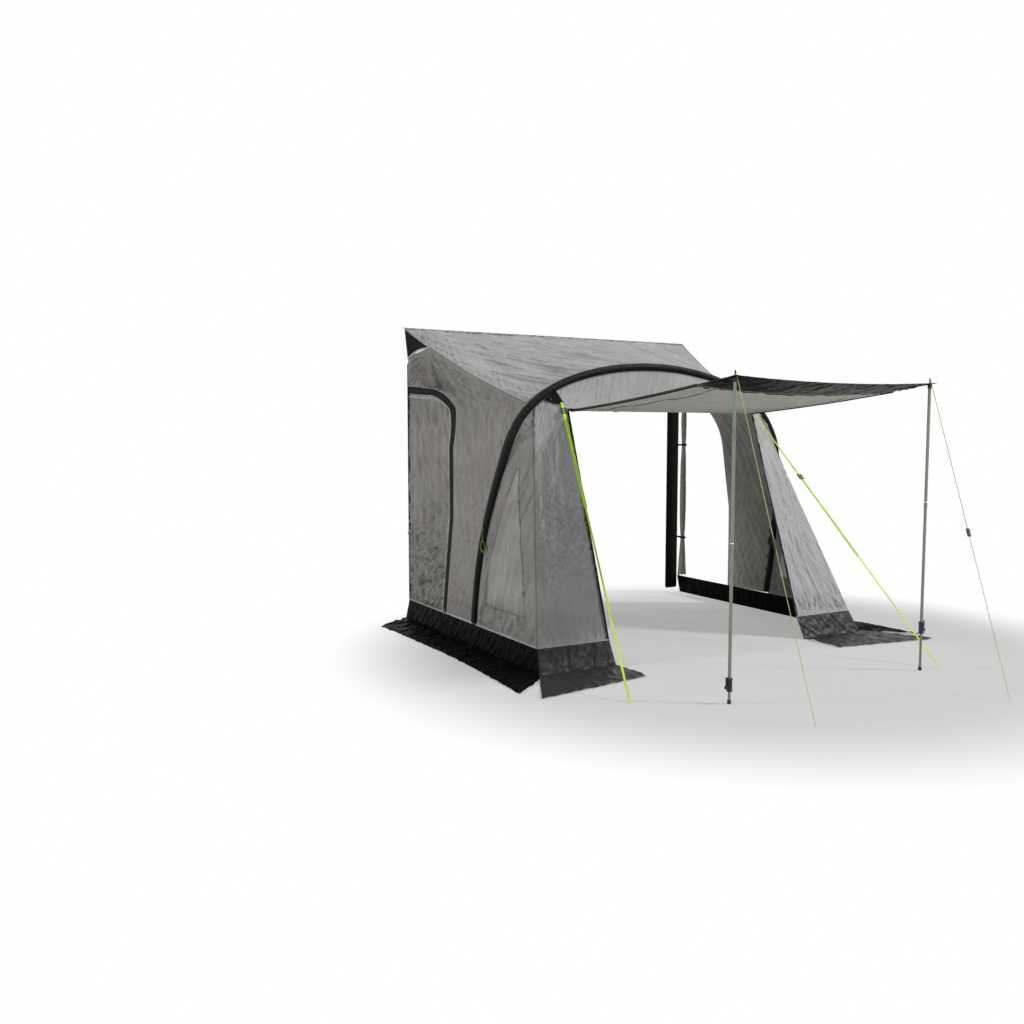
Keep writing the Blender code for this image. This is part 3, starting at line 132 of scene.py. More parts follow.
def lerp(a, b, t):
    return a + (b - a) * t


def vec(x, y, z):
    return np.stack(np.broadcast_arrays(x, y, z), axis=-1).astype(float)


def pairs(x, y):
    return np.stack(np.broadcast_arrays(x, y), axis=-1)


def unit(v):
    return v / np.maximum(np.linalg.norm(v, axis=-1, keepdims=True), 1e-9)


def flip_x(points):
    return np.asarray(points) * np.array([-1.0, 1.0, 1.0])


def row_frame(points):
    return points + vec(0.0, WALL_Y, 0.0)


def ease(values, times):
    """Smooth the inner points of a line in place."""
    for _ in range(times):
        values[1:-1] = 0.25 * values[:-2] + 0.5 * values[1:-1] + 0.25 * values[2:]


def reach_along(points):
    """Distance from the first point to each point of a line."""
    step = np.linalg.norm(np.diff(points, axis=0), axis=1)
    return np.concatenate([[0.0], np.cumsum(step)])


def sampled(at, keys, points):
    return np.stack([np.interp(at, keys, points[:, k]) for k in range(points.shape[1])], axis=-1)


def along(points, share):
    """Points at shares of a line's length."""
    reach = reach_along(points)
    return sampled(np.asarray(share) * reach[-1], reach, points)


def cells(length, cell=0.012):
    return max(3, int(length / (cell * 1.0)))


# fold fields
def noise(x, y, seed):
    """Smooth noise from about -1 to 1 on a seeded lattice."""
    turn = np.random.default_rng(seed).uniform(0.0, 2.0 * math.pi, (96, 96))
    gx, gy = np.cos(turn), np.sin(turn)
    i, j = np.floor(x).astype(int), np.floor(y).astype(int)
    fx, fy = x - i, y - j

    def corner(a, b):
        m, n = (i + a) % 96, (j + b) % 96
        return gx[m, n] * (fx - a) + gy[m, n] * (fy - b)

    u = fx ** 3 * (fx * (fx * 6.0 - 15.0) + 10.0)
    v = fy ** 3 * (fy * (fy * 6.0 - 15.0) + 10.0)
    low = lerp(corner(0, 0), corner(1, 0), u)
    high = lerp(corner(0, 1), corner(1, 1), u)
    return 1.5 * lerp(low, high, v)


def ridge(n, sharp):
    """Turn noise into creases: 1 on its zero lines, falling off either side."""
    return np.clip(1.0 - np.abs(n) * 1.6, 0.0, 1.0) ** sharp


def streaks(u, v, turn, width, length, seed, sharp=1.5):
    """Long folds `width` apart, running at `turn` degrees from the u direction."""
    a = math.radians(turn)
    s, t = u * math.cos(a) + v * math.sin(a), v * math.cos(a) - u * math.sin(a)
    t = t + 0.6 * width * noise(s / length, t / (4.0 * width), seed + 7)
    first = ridge(noise(s / length, t / width, seed), sharp)
    second = ridge(noise(s / (0.6 * length) + 9.1, t / (0.52 * width) + 4.3, seed + 1), sharp)
    return 0.68 * first + 0.32 * second - 0.45


def fan(u, v, u0, v0, folds, reach, seed, sharp=1.4):
    """Tension folds that spread from a point and die away beyond `reach`."""
    r = np.hypot(u - u0, v - v0)
    angle = np.arctan2(v - v0, u - u0) / (0.5 * math.pi)
    bend = 0.3 * noise(r / 0.4, angle * 3.0, seed + 5)
    n = noise(angle * folds + bend, r / (1.5 * reach) + 3.1, seed)
    fine = noise(angle * folds * 2.1 + 5.2, r / reach + 1.7, seed + 2)
    fade = smooth(r / (0.25 * reach)) * np.exp(-(r / reach) ** 1.6)
    return (0.7 * ridge(n, sharp) + 0.3 * ridge(fine, sharp) - 0.42) * fade


def crumple(u, v, size, seed, sharp=1.3):
    """Crumpled cloth or film, with flat facets between creases in all directions."""
    du = u + 0.45 * size * noise(u / size, v / size, seed + 3)
    dv = v + 0.45 * size * noise(u / size + 5.0, v / size, seed + 4)
    total = 0.0
    for k, (often, part) in enumerate(((1.0, 0.55), (2.1, 0.3), (4.4, 0.15))):
        total = total + part * ridge(noise(du * often / size, dv * often / size, seed + 11 * k), sharp)
    return total - 0.42


def summed(field, x, y, *rows):
    """Sum of one kind of fold; a row has its height, then that field's own values."""
    return sum(height * field(x, y, *values) for height, *values in rows)


def hold(u, v, left=0.0, right=0.0, low=0.0, high=0.0):
    """1 inside a panel, 0 at the edges that a seam holds; u and v run from 0 to 1."""
    keep = np.ones_like(u)
    for at, width in ((u, left), (1.0 - u, right), (v, low), (1.0 - v, high)):
        if width:
            keep = keep * smooth(at / width)
    return keep


# the beam's line: keys 0 to 1 up the left leg, 1 to 2 over the arch, 2 to 3 down
def arch(angle):
    c, s = np.cos(np.radians(angle)), np.sin(np.radians(angle))
    lean = (1.0 - s) ** 2 * (ARCH_HALF - SPRING_HALF + SHOULDER_LEAN * s)
    half = ARCH_HALF * np.abs(c) - lean
    rise = CROWN_HEIGHT - SPRING_HEIGHT
    return vec(-np.copysign(half, c), -lerp(SPRING_DEPTH, CROWN_DEPTH, s * s), SPRING_HEIGHT + rise * s)


def leg_bow(z):
    """How far the leg bows outwards at a height."""
    t = (np.asarray(z) - SEAM_HEIGHT) / (SPRING_HEIGHT - SEAM_HEIGHT)
    return LEG_BOW * np.sin(math.pi * np.clip(t, 0.0, 1.0))


def leg(t):
    foot = vec(-WALL_HALF, -BEAM_FOOT_DEPTH, SEAM_HEIGHT)
    point = foot + (arch(0.0) - foot) * np.asarray(t)[..., None]
    return point - vec(leg_bow(point[..., 2]), 0.0, 0.0)


def beam_line():
    low = shares(160)
    over = np.linspace(0.0, 180.0, 481)[1:-1]
    key = np.concatenate([low, 1.0 + over / 180.0, 3.0 - low[::-1]])
    point = np.concatenate([leg(low), arch(over), flip_x(leg(low))[::-1]])
    ease(point, 18)
    return key, point, unit(np.gradient(point, axis=0))


BEAM_KEY, BEAM_POINT, BEAM_WAY = beam_line()


def beam_at(key):
    return sampled(key, BEAM_KEY, BEAM_POINT), unit(sampled(key, BEAM_KEY, BEAM_WAY))


def beside(key, towards, gap=-0.003):
    """Points on the sleeve at beam keys, on the side of `towards`."""
    point, way = beam_at(key)
    d = towards - point
    d = d - way * np.sum(d * way, axis=-1, keepdims=True)
    return point + unit(d) * (SLEEVE_RADIUS + gap)


SHOULDER_KEY = 1.0 + SHOULDER / 180.0
GROUND_CORNER = vec(-WALL_HALF, -FRONT_DEPTH, SEAM_HEIGHT)
SEAM_HEAD = beside(SHOULDER_KEY, GROUND_CORNER, 0.0)
CORNER_TOP = SEAM_HEAD + unit(GROUND_CORNER - SEAM_HEAD) * CORNER_DROP
OPENING_FOOT = vec(-OPENING_HALF, -FRONT_DEPTH, SEAM_HEIGHT)
OPENING_HEAD = vec(-OPENING_HALF, -HINGE_DEPTH, HINGE_HEIGHT)
RAIL_END = vec(-RAIL_HALF, -2.0 * BEAD_RADIUS - SEAM_GAP, RAIL_HEIGHT)
EAVE_END = beside(SHOULDER_KEY, RAIL_END, 0.0)


def eave_point(e):
    e = np.asarray(e, dtype=float)
    p = RAIL_END + (EAVE_END - RAIL_END) * e[..., None]
    return p - vec(0.0, 0.0, 4.0 * EAVE_SAG * e * (1.0 - e))


def corner_seam(z):
    t = (np.asarray(z) - GROUND_CORNER[2]) / (CORNER_TOP[2] - GROUND_CORNER[2])
    return GROUND_CORNER + (CORNER_TOP - GROUND_CORNER) * t[..., None]


def side_rim():
    """The left wall's front edge by height: up the leg, the arch and the eave."""
    low = leg(shares(60))
    over = arch(np.linspace(0.0, SHOULDER, 40))[1:]
    eave = eave_point(np.linspace(0.98, 0.0, 120))
    return np.concatenate([low, over, eave[eave[:, 2] > over[-1, 2] + 0.003]])


SIDE_RIM = side_rim()


def side_point(y, z):
    """The left side wall's surface at depth y and height z."""
    edge_x = np.interp(z, SIDE_RIM[:, 2], SIDE_RIM[:, 0])
    edge_y = np.interp(z, SIDE_RIM[:, 2], SIDE_RIM[:, 1])
    share = np.clip(y / edge_y, 0.0, 1.0)
    bow = leg_bow(z)
    return vec(lerp(-WALL_HALF, edge_x + bow, share) - bow * share ** 4, y, z)


OUT = vec(0.0, -math.cos(CANOPY_RISE), math.sin(CANOPY_RISE))
UP = vec(0.0, math.sin(CANOPY_RISE), math.cos(CANOPY_RISE))
HINGE = vec(0.0, -HINGE_DEPTH, HINGE_HEIGHT)
CANOPY_LENGTH = (POLE_DEPTH - HINGE_DEPTH) / math.cos(CANOPY_RISE) + CANOPY_EDGE


def canopy_point(x, s):
    x, s = np.broadcast_arrays(x, s)
    u, v = x / CANOPY_HALF, s / CANOPY_LENGTH
    sag = 0.55 * np.sin(math.pi * v) + 0.75 * smooth(v) * (1.0 - 0.3 * v)
    sag = CANOPY_SAG * (1.0 - u * u) * sag + 0.30 * CANOPY_SAG * np.sin(math.pi * v)
    return HINGE + vec(x, 0.0, 0.0) + OUT * s[..., None] - UP * sag[..., None]


# surfaces and meshes
class Panel:
    """A cloth surface on a grid: its points, outward normals and flat places."""

    def __init__(self, grid, outward, flat=None):
        self.grid, self.outward = np.array(grid, dtype=float), np.array(outward, dtype=float)
        self.rows, self.cols = self.grid.shape[:2]
        self.v, self.u = np.meshgrid(shares(self.rows), shares(self.cols), indexing="ij")
        self.flat = self.measure() if flat is None else flat
        self.refresh()

    def steps(self):
        """Distances between neighbours across and down the grid."""
        return [np.linalg.norm(np.diff(self.grid, axis=k), axis=2) for k in (1, 0)]

    def measure(self):
        across, down = self.steps()
        x = np.concatenate([np.zeros((self.rows, 1)), np.cumsum(across, axis=1)], axis=1)
        y = np.concatenate([np.zeros((1, self.cols)), np.cumsum(down, axis=0)], axis=0)
        return pairs(x - 0.5 * (x[:, -1:] - x[:, -1:].max()), y)

    def refresh(self):
        n = np.cross(np.gradient(self.grid, axis=1), np.gradient(self.grid, axis=0))
        self.normal = unit(n)
        self.turned = float(np.sum(self.normal * self.outward)) < 0.0
        if self.turned:
            self.normal = -self.normal

    def places(self):
        """The panel's flat map as its two coordinates."""
        return self.flat[..., 0], self.flat[..., 1]

    def fold(self, height):
        self.grid = self.grid + self.normal * height[..., None]
        self.refresh()
        return self

    def shaped(self, total, keep, side=-1, times=1.0):
        """Folded by shares of the fold height, and mirrored for the right side."""
        self.fold(times * settings().fold_height * total * keep)
        return self.mirrored() if side > 0 else self

    def mirrored(self):
        return Panel(flip_x(self.grid), flip_x(self.outward), self.flat)

    def at(self, v, u, lift=0.0):
        """Points and normals at shares down and across the panel."""
        r = np.clip(np.asarray(v, dtype=float), 0.0, 1.0) * (self.rows - 1)
        c = np.clip(np.asarray(u, dtype=float), 0.0, 1.0) * (self.cols - 1)
        r, c = np.broadcast_arrays(r, c)
        i = np.minimum(r.astype(int), self.rows - 2)
        j = np.minimum(c.astype(int), self.cols - 2)
        fr, fc = (r - i)[..., None], (c - j)[..., None]
        point, normal = (lerp(lerp(field[i, j], field[i, j + 1], fc),
                              lerp(field[i + 1, j], field[i + 1, j + 1], fc), fr)
                         for field in (self.grid, self.normal))
        return point + unit(normal) * lift, unit(normal)


def deselect():
    for o in bpy.context.view_layer.objects:
        o.select_set(False)


def activate(obj):
    deselect()
    obj.select_set(True)
    bpy.context.view_layer.objects.active = obj


def apply_modifiers(obj):
    activate(obj)
    for mod in list(obj.modifiers):
        bpy.ops.object.modifier_apply(modifier=mod.name)


def smooth_shade(obj, degrees):
    activate(obj)
    bpy.ops.object.shade_smooth_by_angle(angle=math.radians(degrees))


def mesh_from_grid(name, points, uv, keep=None, turned=False, wrap=None):
    """An open mesh on a grid of wall-frame points; a tube's map repeats after `wrap`."""
    points = row_frame(points)
    rows, cols = points.shape[:2]
    index = np.arange(rows * cols).reshape(rows, cols)
    if wrap:
        index = np.concatenate([index, index[:, :1]], axis=1)
        uv = np.concatenate([uv, uv[:, :1] + np.array([wrap, 0.0])], axis=1)
    uv_index = np.arange(rows * index.shape[1]).reshape(rows, -1)

    def rings(n):
        ring = [n[:-1, :-1], n[:-1, 1:], n[1:, 1:], n[1:, :-1]]
        if turned:
            ring.reverse()
        quads = np.stack(ring, axis=-1).reshape(-1, 4)
        return quads if keep is None else quads[keep.ravel()]

    used, back = np.unique(rings(index), return_inverse=True)
    mesh = bpy.data.meshes.new(name)
    mesh.from_pydata(points.reshape(-1, 3)[used].tolist(), [], back.reshape(-1, 4).tolist())
    layer = mesh.uv_layers.new(name="flat")
    corners = uv.reshape(-1, 2)[rings(uv_index).ravel()]
    layer.data.foreach_set("uv", corners.astype(np.float32).ravel())
    obj = bpy.data.objects.new(name, mesh)
    bpy.context.collection.objects.link(obj)
    return obj


def close_ends(obj, sides):
    """Fill the round ends of a tube."""
    activate(obj)
    bpy.ops.object.mode_set(mode="EDIT")
    bpy.ops.mesh.select_all(action="SELECT")
    bpy.ops.mesh.fill_holes(sides=sides)
    bpy.ops.mesh.select_all(action="SELECT")
    bpy.ops.mesh.normals_make_consistent(inside=False)
    bpy.ops.object.mode_set(mode="OBJECT")


def dress(obj, material, body, slot, nodes=()):
    obj.data.materials.append(material)
    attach(obj, body)
    if nodes:
        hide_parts(*nodes)
    return obj


def cloth(name, panel, material, slot, nodes=(), body="shell", thick=CLOTH, keep=None):
    """A panel as a closed sheet of cloth."""
    obj = mesh_from_grid(name, panel.grid, panel.flat, keep, panel.turned)
    mod = obj.modifiers.new("cloth", "SOLIDIFY")
    mod.thickness, mod.offset, mod.use_even_offset = thick, 0.0, False
    apply_modifiers(obj)
    smooth_shade(obj, 60.0)
    return dress(obj, material, body, slot, nodes)


def tape(name, line, normal, width, material, slot="black_fabric", nodes=(), body="shell",
         thick=0.0011, lift=0.0014, crown=0.0):
    """A sewn strip along a line on a surface; its map runs 0 to 1 across and in metres along."""
    normal = normal + 0.0 * line
    way = unit(np.gradient(line, axis=0))
    side = unit(np.cross(way, normal))
    share = np.linspace(-0.5, 0.5, 5)
    arc = lift + crown * (1.0 - (2.0 * share) ** 2)
    grid = line[:, None] + side[:, None] * (share[None, :, None] * width)
    grid = grid + normal[:, None] * arc[None, :, None]
    flat = pairs((share + 0.5)[None, :], reach_along(line)[:, None])
    panel = Panel(grid, normal.mean(axis=0), flat)
    return cloth(name, panel, material, slot, nodes, body, thick)


def seam_line(panel, v, u, name, width, material, **more):
    """A tape along a line of shares on a panel."""
    line, normal = panel.at(v, u)
    return tape(name, line, normal, width, material, **more)


def carried_frame(path, start=None):
    """Unit vectors square to a line, carried along it without twist."""
    way = unit(np.gradient(path, axis=0))
    n = np.array(start if start is not None else (0.0, 0.0, 1.0), dtype=float)
    if start is None and abs(way[0][2]) > 0.9:
        n = np.array([1.0, 0.0, 0.0])
    first = []
    for t in way:
        n = n - t * n.dot(t)
        n = n / np.linalg.norm(n)
        first.append(n)
    first = np.array(first)
    return first, np.cross(way, first)


def round_cord(name, path, radius, material, slot, nodes, sides):
    """A cord as a closed round tube with domed ends; path is in the wall frame."""
    first, second = carried_frame(path)
    way = unit(np.gradient(path, axis=0))
    rows = [(p, radius, i) for i, p in enumerate(path)]
    for a in (math.radians(35.0), math.radians(68.0)):
        for end, sign in ((0, -1.0), (len(path) - 1, 1.0)):
            ring = (path[end] + way[end] * sign * radius * math.sin(a), radius * math.cos(a), end)
            rows.insert(0 if end == 0 else len(rows), ring)
    turn = 2.0 * math.pi * np.arange(sides) / sides
    grid = np.array([p + r * (np.cos(turn)[:, None] * first[i] + np.sin(turn)[:, None] * second[i])
                     for p, r, i in rows])
    length = reach_along(np.array([p for p, _, _ in rows]))
    flat = pairs((turn / (2.0 * math.pi))[None, :], length[:, None])
    obj = mesh_from_grid(name, grid, flat, turned=True, wrap=1.0)
    close_ends(obj, sides)
    smooth_shade(obj, 60.0)
    return dress(obj, material, "shell", slot, nodes)


# shader node groups
class Wiring:
    """Short calls that add nodes to a tree and link them."""

    def __init__(self, tree):
        self.tree = tree

    def put(self, socket, value):
        if isinstance(value, bpy.types.NodeSocket):
            self.tree.links.new(value, socket)
        elif value is not None:
            socket.default_value = value

    def fill(self, sockets, values):
        """Link or set sockets by their name or place."""
        for key, value in values.items():
            self.put(sockets[key], value)

    def node(self, kind, inputs=None, **settings):
        made = self.tree.nodes.new(kind)
        for key, value in settings.items():
            setattr(made, key, value)
        self.fill(made.inputs, inputs or {})
        return made

    def math(self, operation, *values, clamp=False):
        return self.node("ShaderNodeMath", dict(enumerate(values)),
                         operation=operation, use_clamp=clamp).outputs[0]

    def times(self, a, b):
        return self.math("MULTIPLY", a, b)

    def less(self, a, b, clamp=False):
        return self.math("SUBTRACT", a, b, clamp=clamp)

    def fused(self, a, b, c):
        """a times b plus c."""
        return self.math("MULTIPLY_ADD", a, b, c)

    def vmath(self, operation, *values):
        return self.node("ShaderNodeVectorMath", dict(enumerate(values)), operation=operation).outputs[0]

    def split(self, vector):
        return self.node("ShaderNodeSeparateXYZ", {"Vector": vector}).outputs

    def noise(self, vector, scale, detail=3.0, rough=0.55, distort=0.0):
        return self.node("ShaderNodeTexNoise", {
            "Vector": vector, "Scale": scale, "Detail": detail, "Roughness": rough,
            "Distortion": distort}).outputs[0]

    def band(self, value, low, high, to_low=0.0, to_high=1.0):
        return self.node("ShaderNodeMapRange", {
            "Value": value, "From Min": low, "From Max": high, "To Min": to_low, "To Max": to_high},
            interpolation_type="SMOOTHSTEP").outputs[0]

    def mix(self, share, a, b):
        return self.node("ShaderNodeMix", {0: share, 6: a, 7: b}, data_type="RGBA").outputs[2]

    def group(self, tree, inputs):
        return self.node("ShaderNodeGroup", inputs, node_tree=tree).outputs

    def bump(self, height, distance):
        return self.node("ShaderNodeBump", {
            "Height": height, "Distance": distance, "Strength": 1.0}).outputs[0]

    def seen_as_background(self):
        """1 for the rays that see the backdrop straight, in a mirror or through glass."""
        path = self.node("ShaderNodeLightPath").outputs
        return self.math("MAXIMUM", path["Is Camera Ray"], self.math(
            "MAXIMUM", path["Is Glossy Ray"], path["Is Transmission Ray"]))


def socket_type(value):
    """Kind of socket for a default: a number, a colour of four, or else a vector."""
    if isinstance(value, float):
        return "NodeSocketFloat"
    return "NodeSocketColor" if value and len(value) == 4 else "NodeSocketVector"


def node_group(name, inputs, outputs):
    """Make a wiring function into one that gives its shader node group, built once."""
    def wrap(wire):
        def tree_of():
            tree = bpy.data.node_groups.get(name)
            if tree is None:
                tree = bpy.data.node_groups.new(name, "ShaderNodeTree")
                for label, value in inputs.items():
                    socket = tree.interface.new_socket(
                        name=label, in_out="INPUT", socket_type=socket_type(value))
                    if value is not None:
                        socket.default_value = value
                for label in outputs:
                    kind = "NodeSocketColor" if label == "Colour" else "NodeSocketFloat"
                    tree.interface.new_socket(name=label, in_out="OUTPUT", socket_type=kind)
                w = Wiring(tree)
                given = w.node("NodeGroupInput").outputs
                w.fill(w.node("NodeGroupOutput").inputs, wire(w, given))
            return tree
        return tree_of
    return wrap


FULL_TURN = 6.2832


@node_group("Woven Threads", {"Vector": None, "Threads": 900.0}, ("Height", "Slub"))
def woven_threads(w, given):
    """Plain weave: warp over weft, with slubs."""
    x, y, _ = w.split(given["Vector"])
    often = w.times(given["Threads"], FULL_TURN)
    warp, weft = (w.math("SINE", w.times(k, often)) for k in (x, y))
    slub = w.noise(w.vmath("MULTIPLY", given["Vector"], (260.0, 40.0, 1.0)), 1.0, 2.0)
    cross = w.fused(w.times(warp, weft), 0.5, 0.5)
    return {"Height": w.fused(cross, 0.7, w.times(slub, 0.3)), "Slub": slub}


@node_group("Colour Drift", {"Vector": None, "Colour": (0.3, 0.3, 0.3, 1.0),
                             "Second Colour": (0.25, 0.25, 0.25, 1.0)}, ("Colour",))
def colour_drift(w, given):
    """Slow unevenness of a dyed cloth, with faint rain marks that run down."""
    slow = w.noise(given["Vector"], 3.2, 4.0)
    marks = w.noise(w.vmath("MULTIPLY", given["Vector"], (26.0, 26.0, 2.2)), 1.0, 3.0)
    fine = w.noise(given["Vector"], 75.0, 2.0)
    total = w.fused(fine, 0.15, w.fused(slow, 0.55, w.times(marks, 0.3)))
    return {"Colour": w.mix(w.band(total, 0.36, 0.64), given["Colour"], given["Second Colour"])}


@node_group("Fine Creases", {"Vector": None, "Stretch": (1.0, 1.0, 1.0), "Scale": 9.0, "Turn": 0.0},
            ("Height", "Line"))
def fine_creases(w, given):
    """Small creases of handled cloth, finer than the modelled folds, with a mask of their lines for a painted
    highlight.
    """
    turned = w.node("ShaderNodeVectorRotate", {"Vector": given["Vector"], "Angle": given["Turn"]},
                    rotation_type="Z_AXIS").outputs[0]
    wide = w.vmath("MULTIPLY", turned, given["Stretch"])
    line, small = (
        w.less(1.0, w.times(w.math("ABSOLUTE", w.less(
            w.noise(wide, w.times(given["Scale"], often), detail, 0.5, bend), 0.5)), sharp), clamp=True)
        for often, detail, bend, sharp in ((1.0, 3.0, 0.6, 5.0), (2.7, 2.0, 0.4, 6.0)))
    return {"Height": w.fused(line, 0.7, w.times(small, 0.3)), "Line": w.band(line, 0.7, 1.0)}


@node_group("Crumpled Film", {"Vector": None, "Scale": 20.0}, ("Height", "Scuff"))
def crumpled_film(w, given):
    """Flat facets between sharp creases, as in coated sheet that was folded up."""
    drift = w.node("ShaderNodeTexNoise", {"Vector": given["Vector"], "Scale": 14.0, "Detail": 2.0})
    drift = w.node("ShaderNodeVectorMath", {0: drift.outputs[1], 3: 0.02}, operation="SCALE")
    moved = w.vmath("ADD", given["Vector"], drift.outputs[0])
    wide, small = (
        w.node("ShaderNodeTexVoronoi", {"Vector": moved, "Scale": w.times(given["Scale"], often)},
               feature="F1").outputs["Distance"] for often in (1.0, 2.6))
    return {"Height": w.fused(wide, 0.65, w.times(small, 0.35)),
            "Scuff": w.band(w.noise(given["Vector"], 18.0, 6.0, 0.7), 0.5, 0.72)}


@node_group("Ground Dust", {"Vector": None, "Top": 0.3, "Amount": 0.4}, ("Mask",))
def ground_dust(w, given):
    """Dust and splashes that thin out upwards from the ground."""
    low = w.band(w.split(given["Vector"])[2], given["Top"], 0.0)
    spots = w.band(w.noise(given["Vector"], 38.0, 5.0, 0.65), 0.38, 0.7)
    return {"Mask": w.times(w.times(low, spots), given["Amount"])}


@node_group("Stitch Rows", {"Vector": None, "Inset": 0.14, "Pitch": 0.0032}, ("Mark", "Height"))
def stitch_rows(w, given):
    """Two rows of stitches near the edges of a strip mapped 0 to 1 across."""
    x, y, _ = w.split(given["Vector"])
    edge = w.math("MINIMUM", x, w.less(1.0, x))
    from_row = w.math("ABSOLUTE", w.less(edge, given["Inset"]))
    row = w.less(1.0, w.math("DIVIDE", from_row, 0.05), clamp=True)
    beat = w.math("FRACT", w.math("DIVIDE", y, given["Pitch"]))
    dash = w.times(w.band(beat, 0.10, 0.22), w.band(beat, 0.80, 0.68))
    mark = w.times(w.band(row, 0.1, 0.8), dash)
    rib = w.math("SINE", w.times(y, 5000.0))
    return {"Mark": mark, "Height": w.fused(mark, -0.6, w.times(rib, 0.15))}


@node_group("Braided Sheath", {"Vector": None, "Pitch": 180.0}, ("Height", "Fleck"))
def braided_sheath(w, given):
    """Diagonal strands round a cord mapped 0 to 1 round it, in metres along."""
    x, y, _ = w.split(given["Vector"])
    down = w.times(y, given["Pitch"])
    left, right = (w.math("SINE", w.times(w.fused(x, strands, down), FULL_TURN)) for strands in (4.0, -4.0))
    fleck = w.times(w.band(left, 0.55, 0.9), w.band(w.noise(given["Vector"], 9.0), 0.45, 0.6))
    return {"Height": w.math("MAXIMUM", left, right), "Fleck": fleck}


@node_group("Drawn Tube", {"Vector": None}, ("Mark", "Worn"))
def drawn_tube(w, given):
    """Lengthwise draw marks and rubbed bands of a steel tube."""
    marks = w.noise(w.vmath("MULTIPLY", given["Vector"], (900.0, 900.0, 9.0)), 1.0, 3.0)
    worn = w.noise(w.vmath("MULTIPLY", given["Vector"], (60.0, 60.0, 7.0)), 1.0, 5.0, 0.65)
    return {"Mark": marks, "Worn": w.band(worn, 0.52, 0.72)}


@node_group("Moulded Grain", {"Vector": None}, ("Height", "Scuff"))
def moulded_grain(w, given):
    """Fine spark texture and handling scuffs of moulded nylon."""
    scuff = w.noise(given["Vector"], 140.0, 6.0, 0.7)
    return {"Height": w.noise(given["Vector"], 1900.0, 2.0, 0.6), "Scuff": w.band(scuff, 0.52, 0.7)}


# materials
def material(name, wire):
    """A material built once; `wire` gives its shader's sockets what they need."""
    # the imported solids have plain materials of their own, some under these names
    name = "finish_" + name
    mat = bpy.data.materials.get(name)
    if mat is None:
        mat = bpy.data.materials.new(name)
        mat.use_nodes = True
        w = Wiring(mat.node_tree)
        w.fill(w.tree.nodes["Principled BSDF"].inputs, wire(w, w.node("ShaderNodeTexCoord").outputs))
    return mat


def rgba(colour, times=1.0):
    return (*(min(1.0, c * times) for c in colour), 1.0)


def dyed(w, coords, colour, light, dark):
    """A colour that drifts between two strengths of itself."""
    return w.group(colour_drift(), {"Vector": coords["Object"], "Colour": rgba(colour, light),
                                    "Second Colour": rgba(colour, dark)})["Colour"]


def dusted(w, coords, clean, dust_colour, top, amount):
    mask = w.group(ground_dust(), {"Vector": coords["Object"], "Top": top, "Amount": amount})["Mask"]
    return w.mix(mask, clean, rgba(dust_colour))


def woven(name, colour, threads=900.0, roughness=0.72, creases=(1.0, 1.0, 1.0), crease_scale=7.0,
          dust=0.0, sheen=0.05, depth=0.007, specular=0.25, turn=0.0):
    """Coated polyester cloth with weave, faint creases with a painted highlight along their lines, uneven dye
    and dust.
    """
    def wire(w, coords):
        weave = w.group(woven_threads(), {"Vector": coords["UV"], "Threads": threads})
        crease = w.group(fine_creases(), {"Vector": coords["UV"], "Stretch": creases,
                                          "Scale": crease_scale, "Turn": -math.radians(turn)})
        base = dyed(w, coords, colour, 1.06, 0.86)
        # painted highlight: the crease lines are painted lighter than the cloth
        base = w.mix(w.times(crease["Line"], 0.12), base, rgba(colour, 1.35))
        base = w.mix(w.times(weave["Slub"], 0.10), base, rgba(colour, 0.7))
        return {"Base Color": dusted(w, coords, base, (0.23, 0.20, 0.16), 0.5, dust),
                "Roughness": w.fused(weave["Slub"], 0.16, roughness - 0.08),
                "Sheen Weight": sheen, "Sheen Roughness": 0.45, "Specular IOR Level": specular,
                "Normal": w.bump(w.fused(weave["Height"], 0.04, crease["Height"]), depth)}
    return material(name, wire)


def coated(name, colour, roughness, dust, specular):
    """Glossy coated sheet with crumples, scuffs and dust."""
    def wire(w, coords):
        crumples = w.group(crumpled_film(), {"Vector": coords["Object"], "Scale": 9.0})
        base = dyed(w, coords, colour, 1.15, 0.8)
        base = w.mix(w.times(crumples["Scuff"], 0.15), base, rgba(colour, 2.4))
        return {"Base Color": dusted(w, coords, base, (0.15, 0.13, 0.11), 0.10, dust),
                "Roughness": w.fused(crumples["Scuff"], 0.22, roughness),
                "Specular IOR Level": specular, "Normal": w.bump(crumples["Height"], 0.0015)}
    return material(name, wire)


def sewn(name, colour, stitch, pitch=0.0032, inset=0.14):
    """A sewn strip with two rows of stitches and a ribbed weave."""
    def wire(w, coords):
        rows = w.group(stitch_rows(), {"Vector": coords["UV"], "Inset": inset, "Pitch": pitch})
        return {"Base Color": w.mix(rows["Mark"], dyed(w, coords, colour, 1.15, 0.8), rgba(stitch)),
                "Roughness": w.fused(rows["Mark"], -0.12, 0.7),
                "Specular IOR Level": 0.2, "Normal": w.bump(rows["Height"], 0.0006)}
    return material(name, wire)


def braided(name, colour, fleck, pitch=180.0):
    """A cord's braided sheath with flecks of a second yarn."""
    def wire(w, coords):
        sheath = w.group(braided_sheath(), {"Vector": coords["UV"], "Pitch": pitch})
        return {"Base Color": w.mix(sheath["Fleck"], dyed(w, coords, colour, 1.1, 0.85), rgba(fleck)),
                "Roughness": w.fused(sheath["Height"], -0.06, 0.68),
                "Sheen Weight": 0.12, "Normal": w.bump(sheath["Height"], 0.0005)}
    return material(name, wire)


def plated_steel(name, colour):
    """Zinc-plated tube, drawn lengthwise and rubbed in places."""
    def wire(w, coords):
        tube = w.group(drawn_tube(), {"Vector": coords["Object"]})
        return {"Base Color": w.mix(tube["Worn"], rgba(colour), rgba(colour, 0.72)),
                "Roughness": w.fused(tube["Worn"], 0.22, w.fused(tube["Mark"], 0.14, 0.20)),
                "Metallic": 0.92, "Normal": w.bump(tube["Mark"], 0.00006)}
    return material(name, wire)


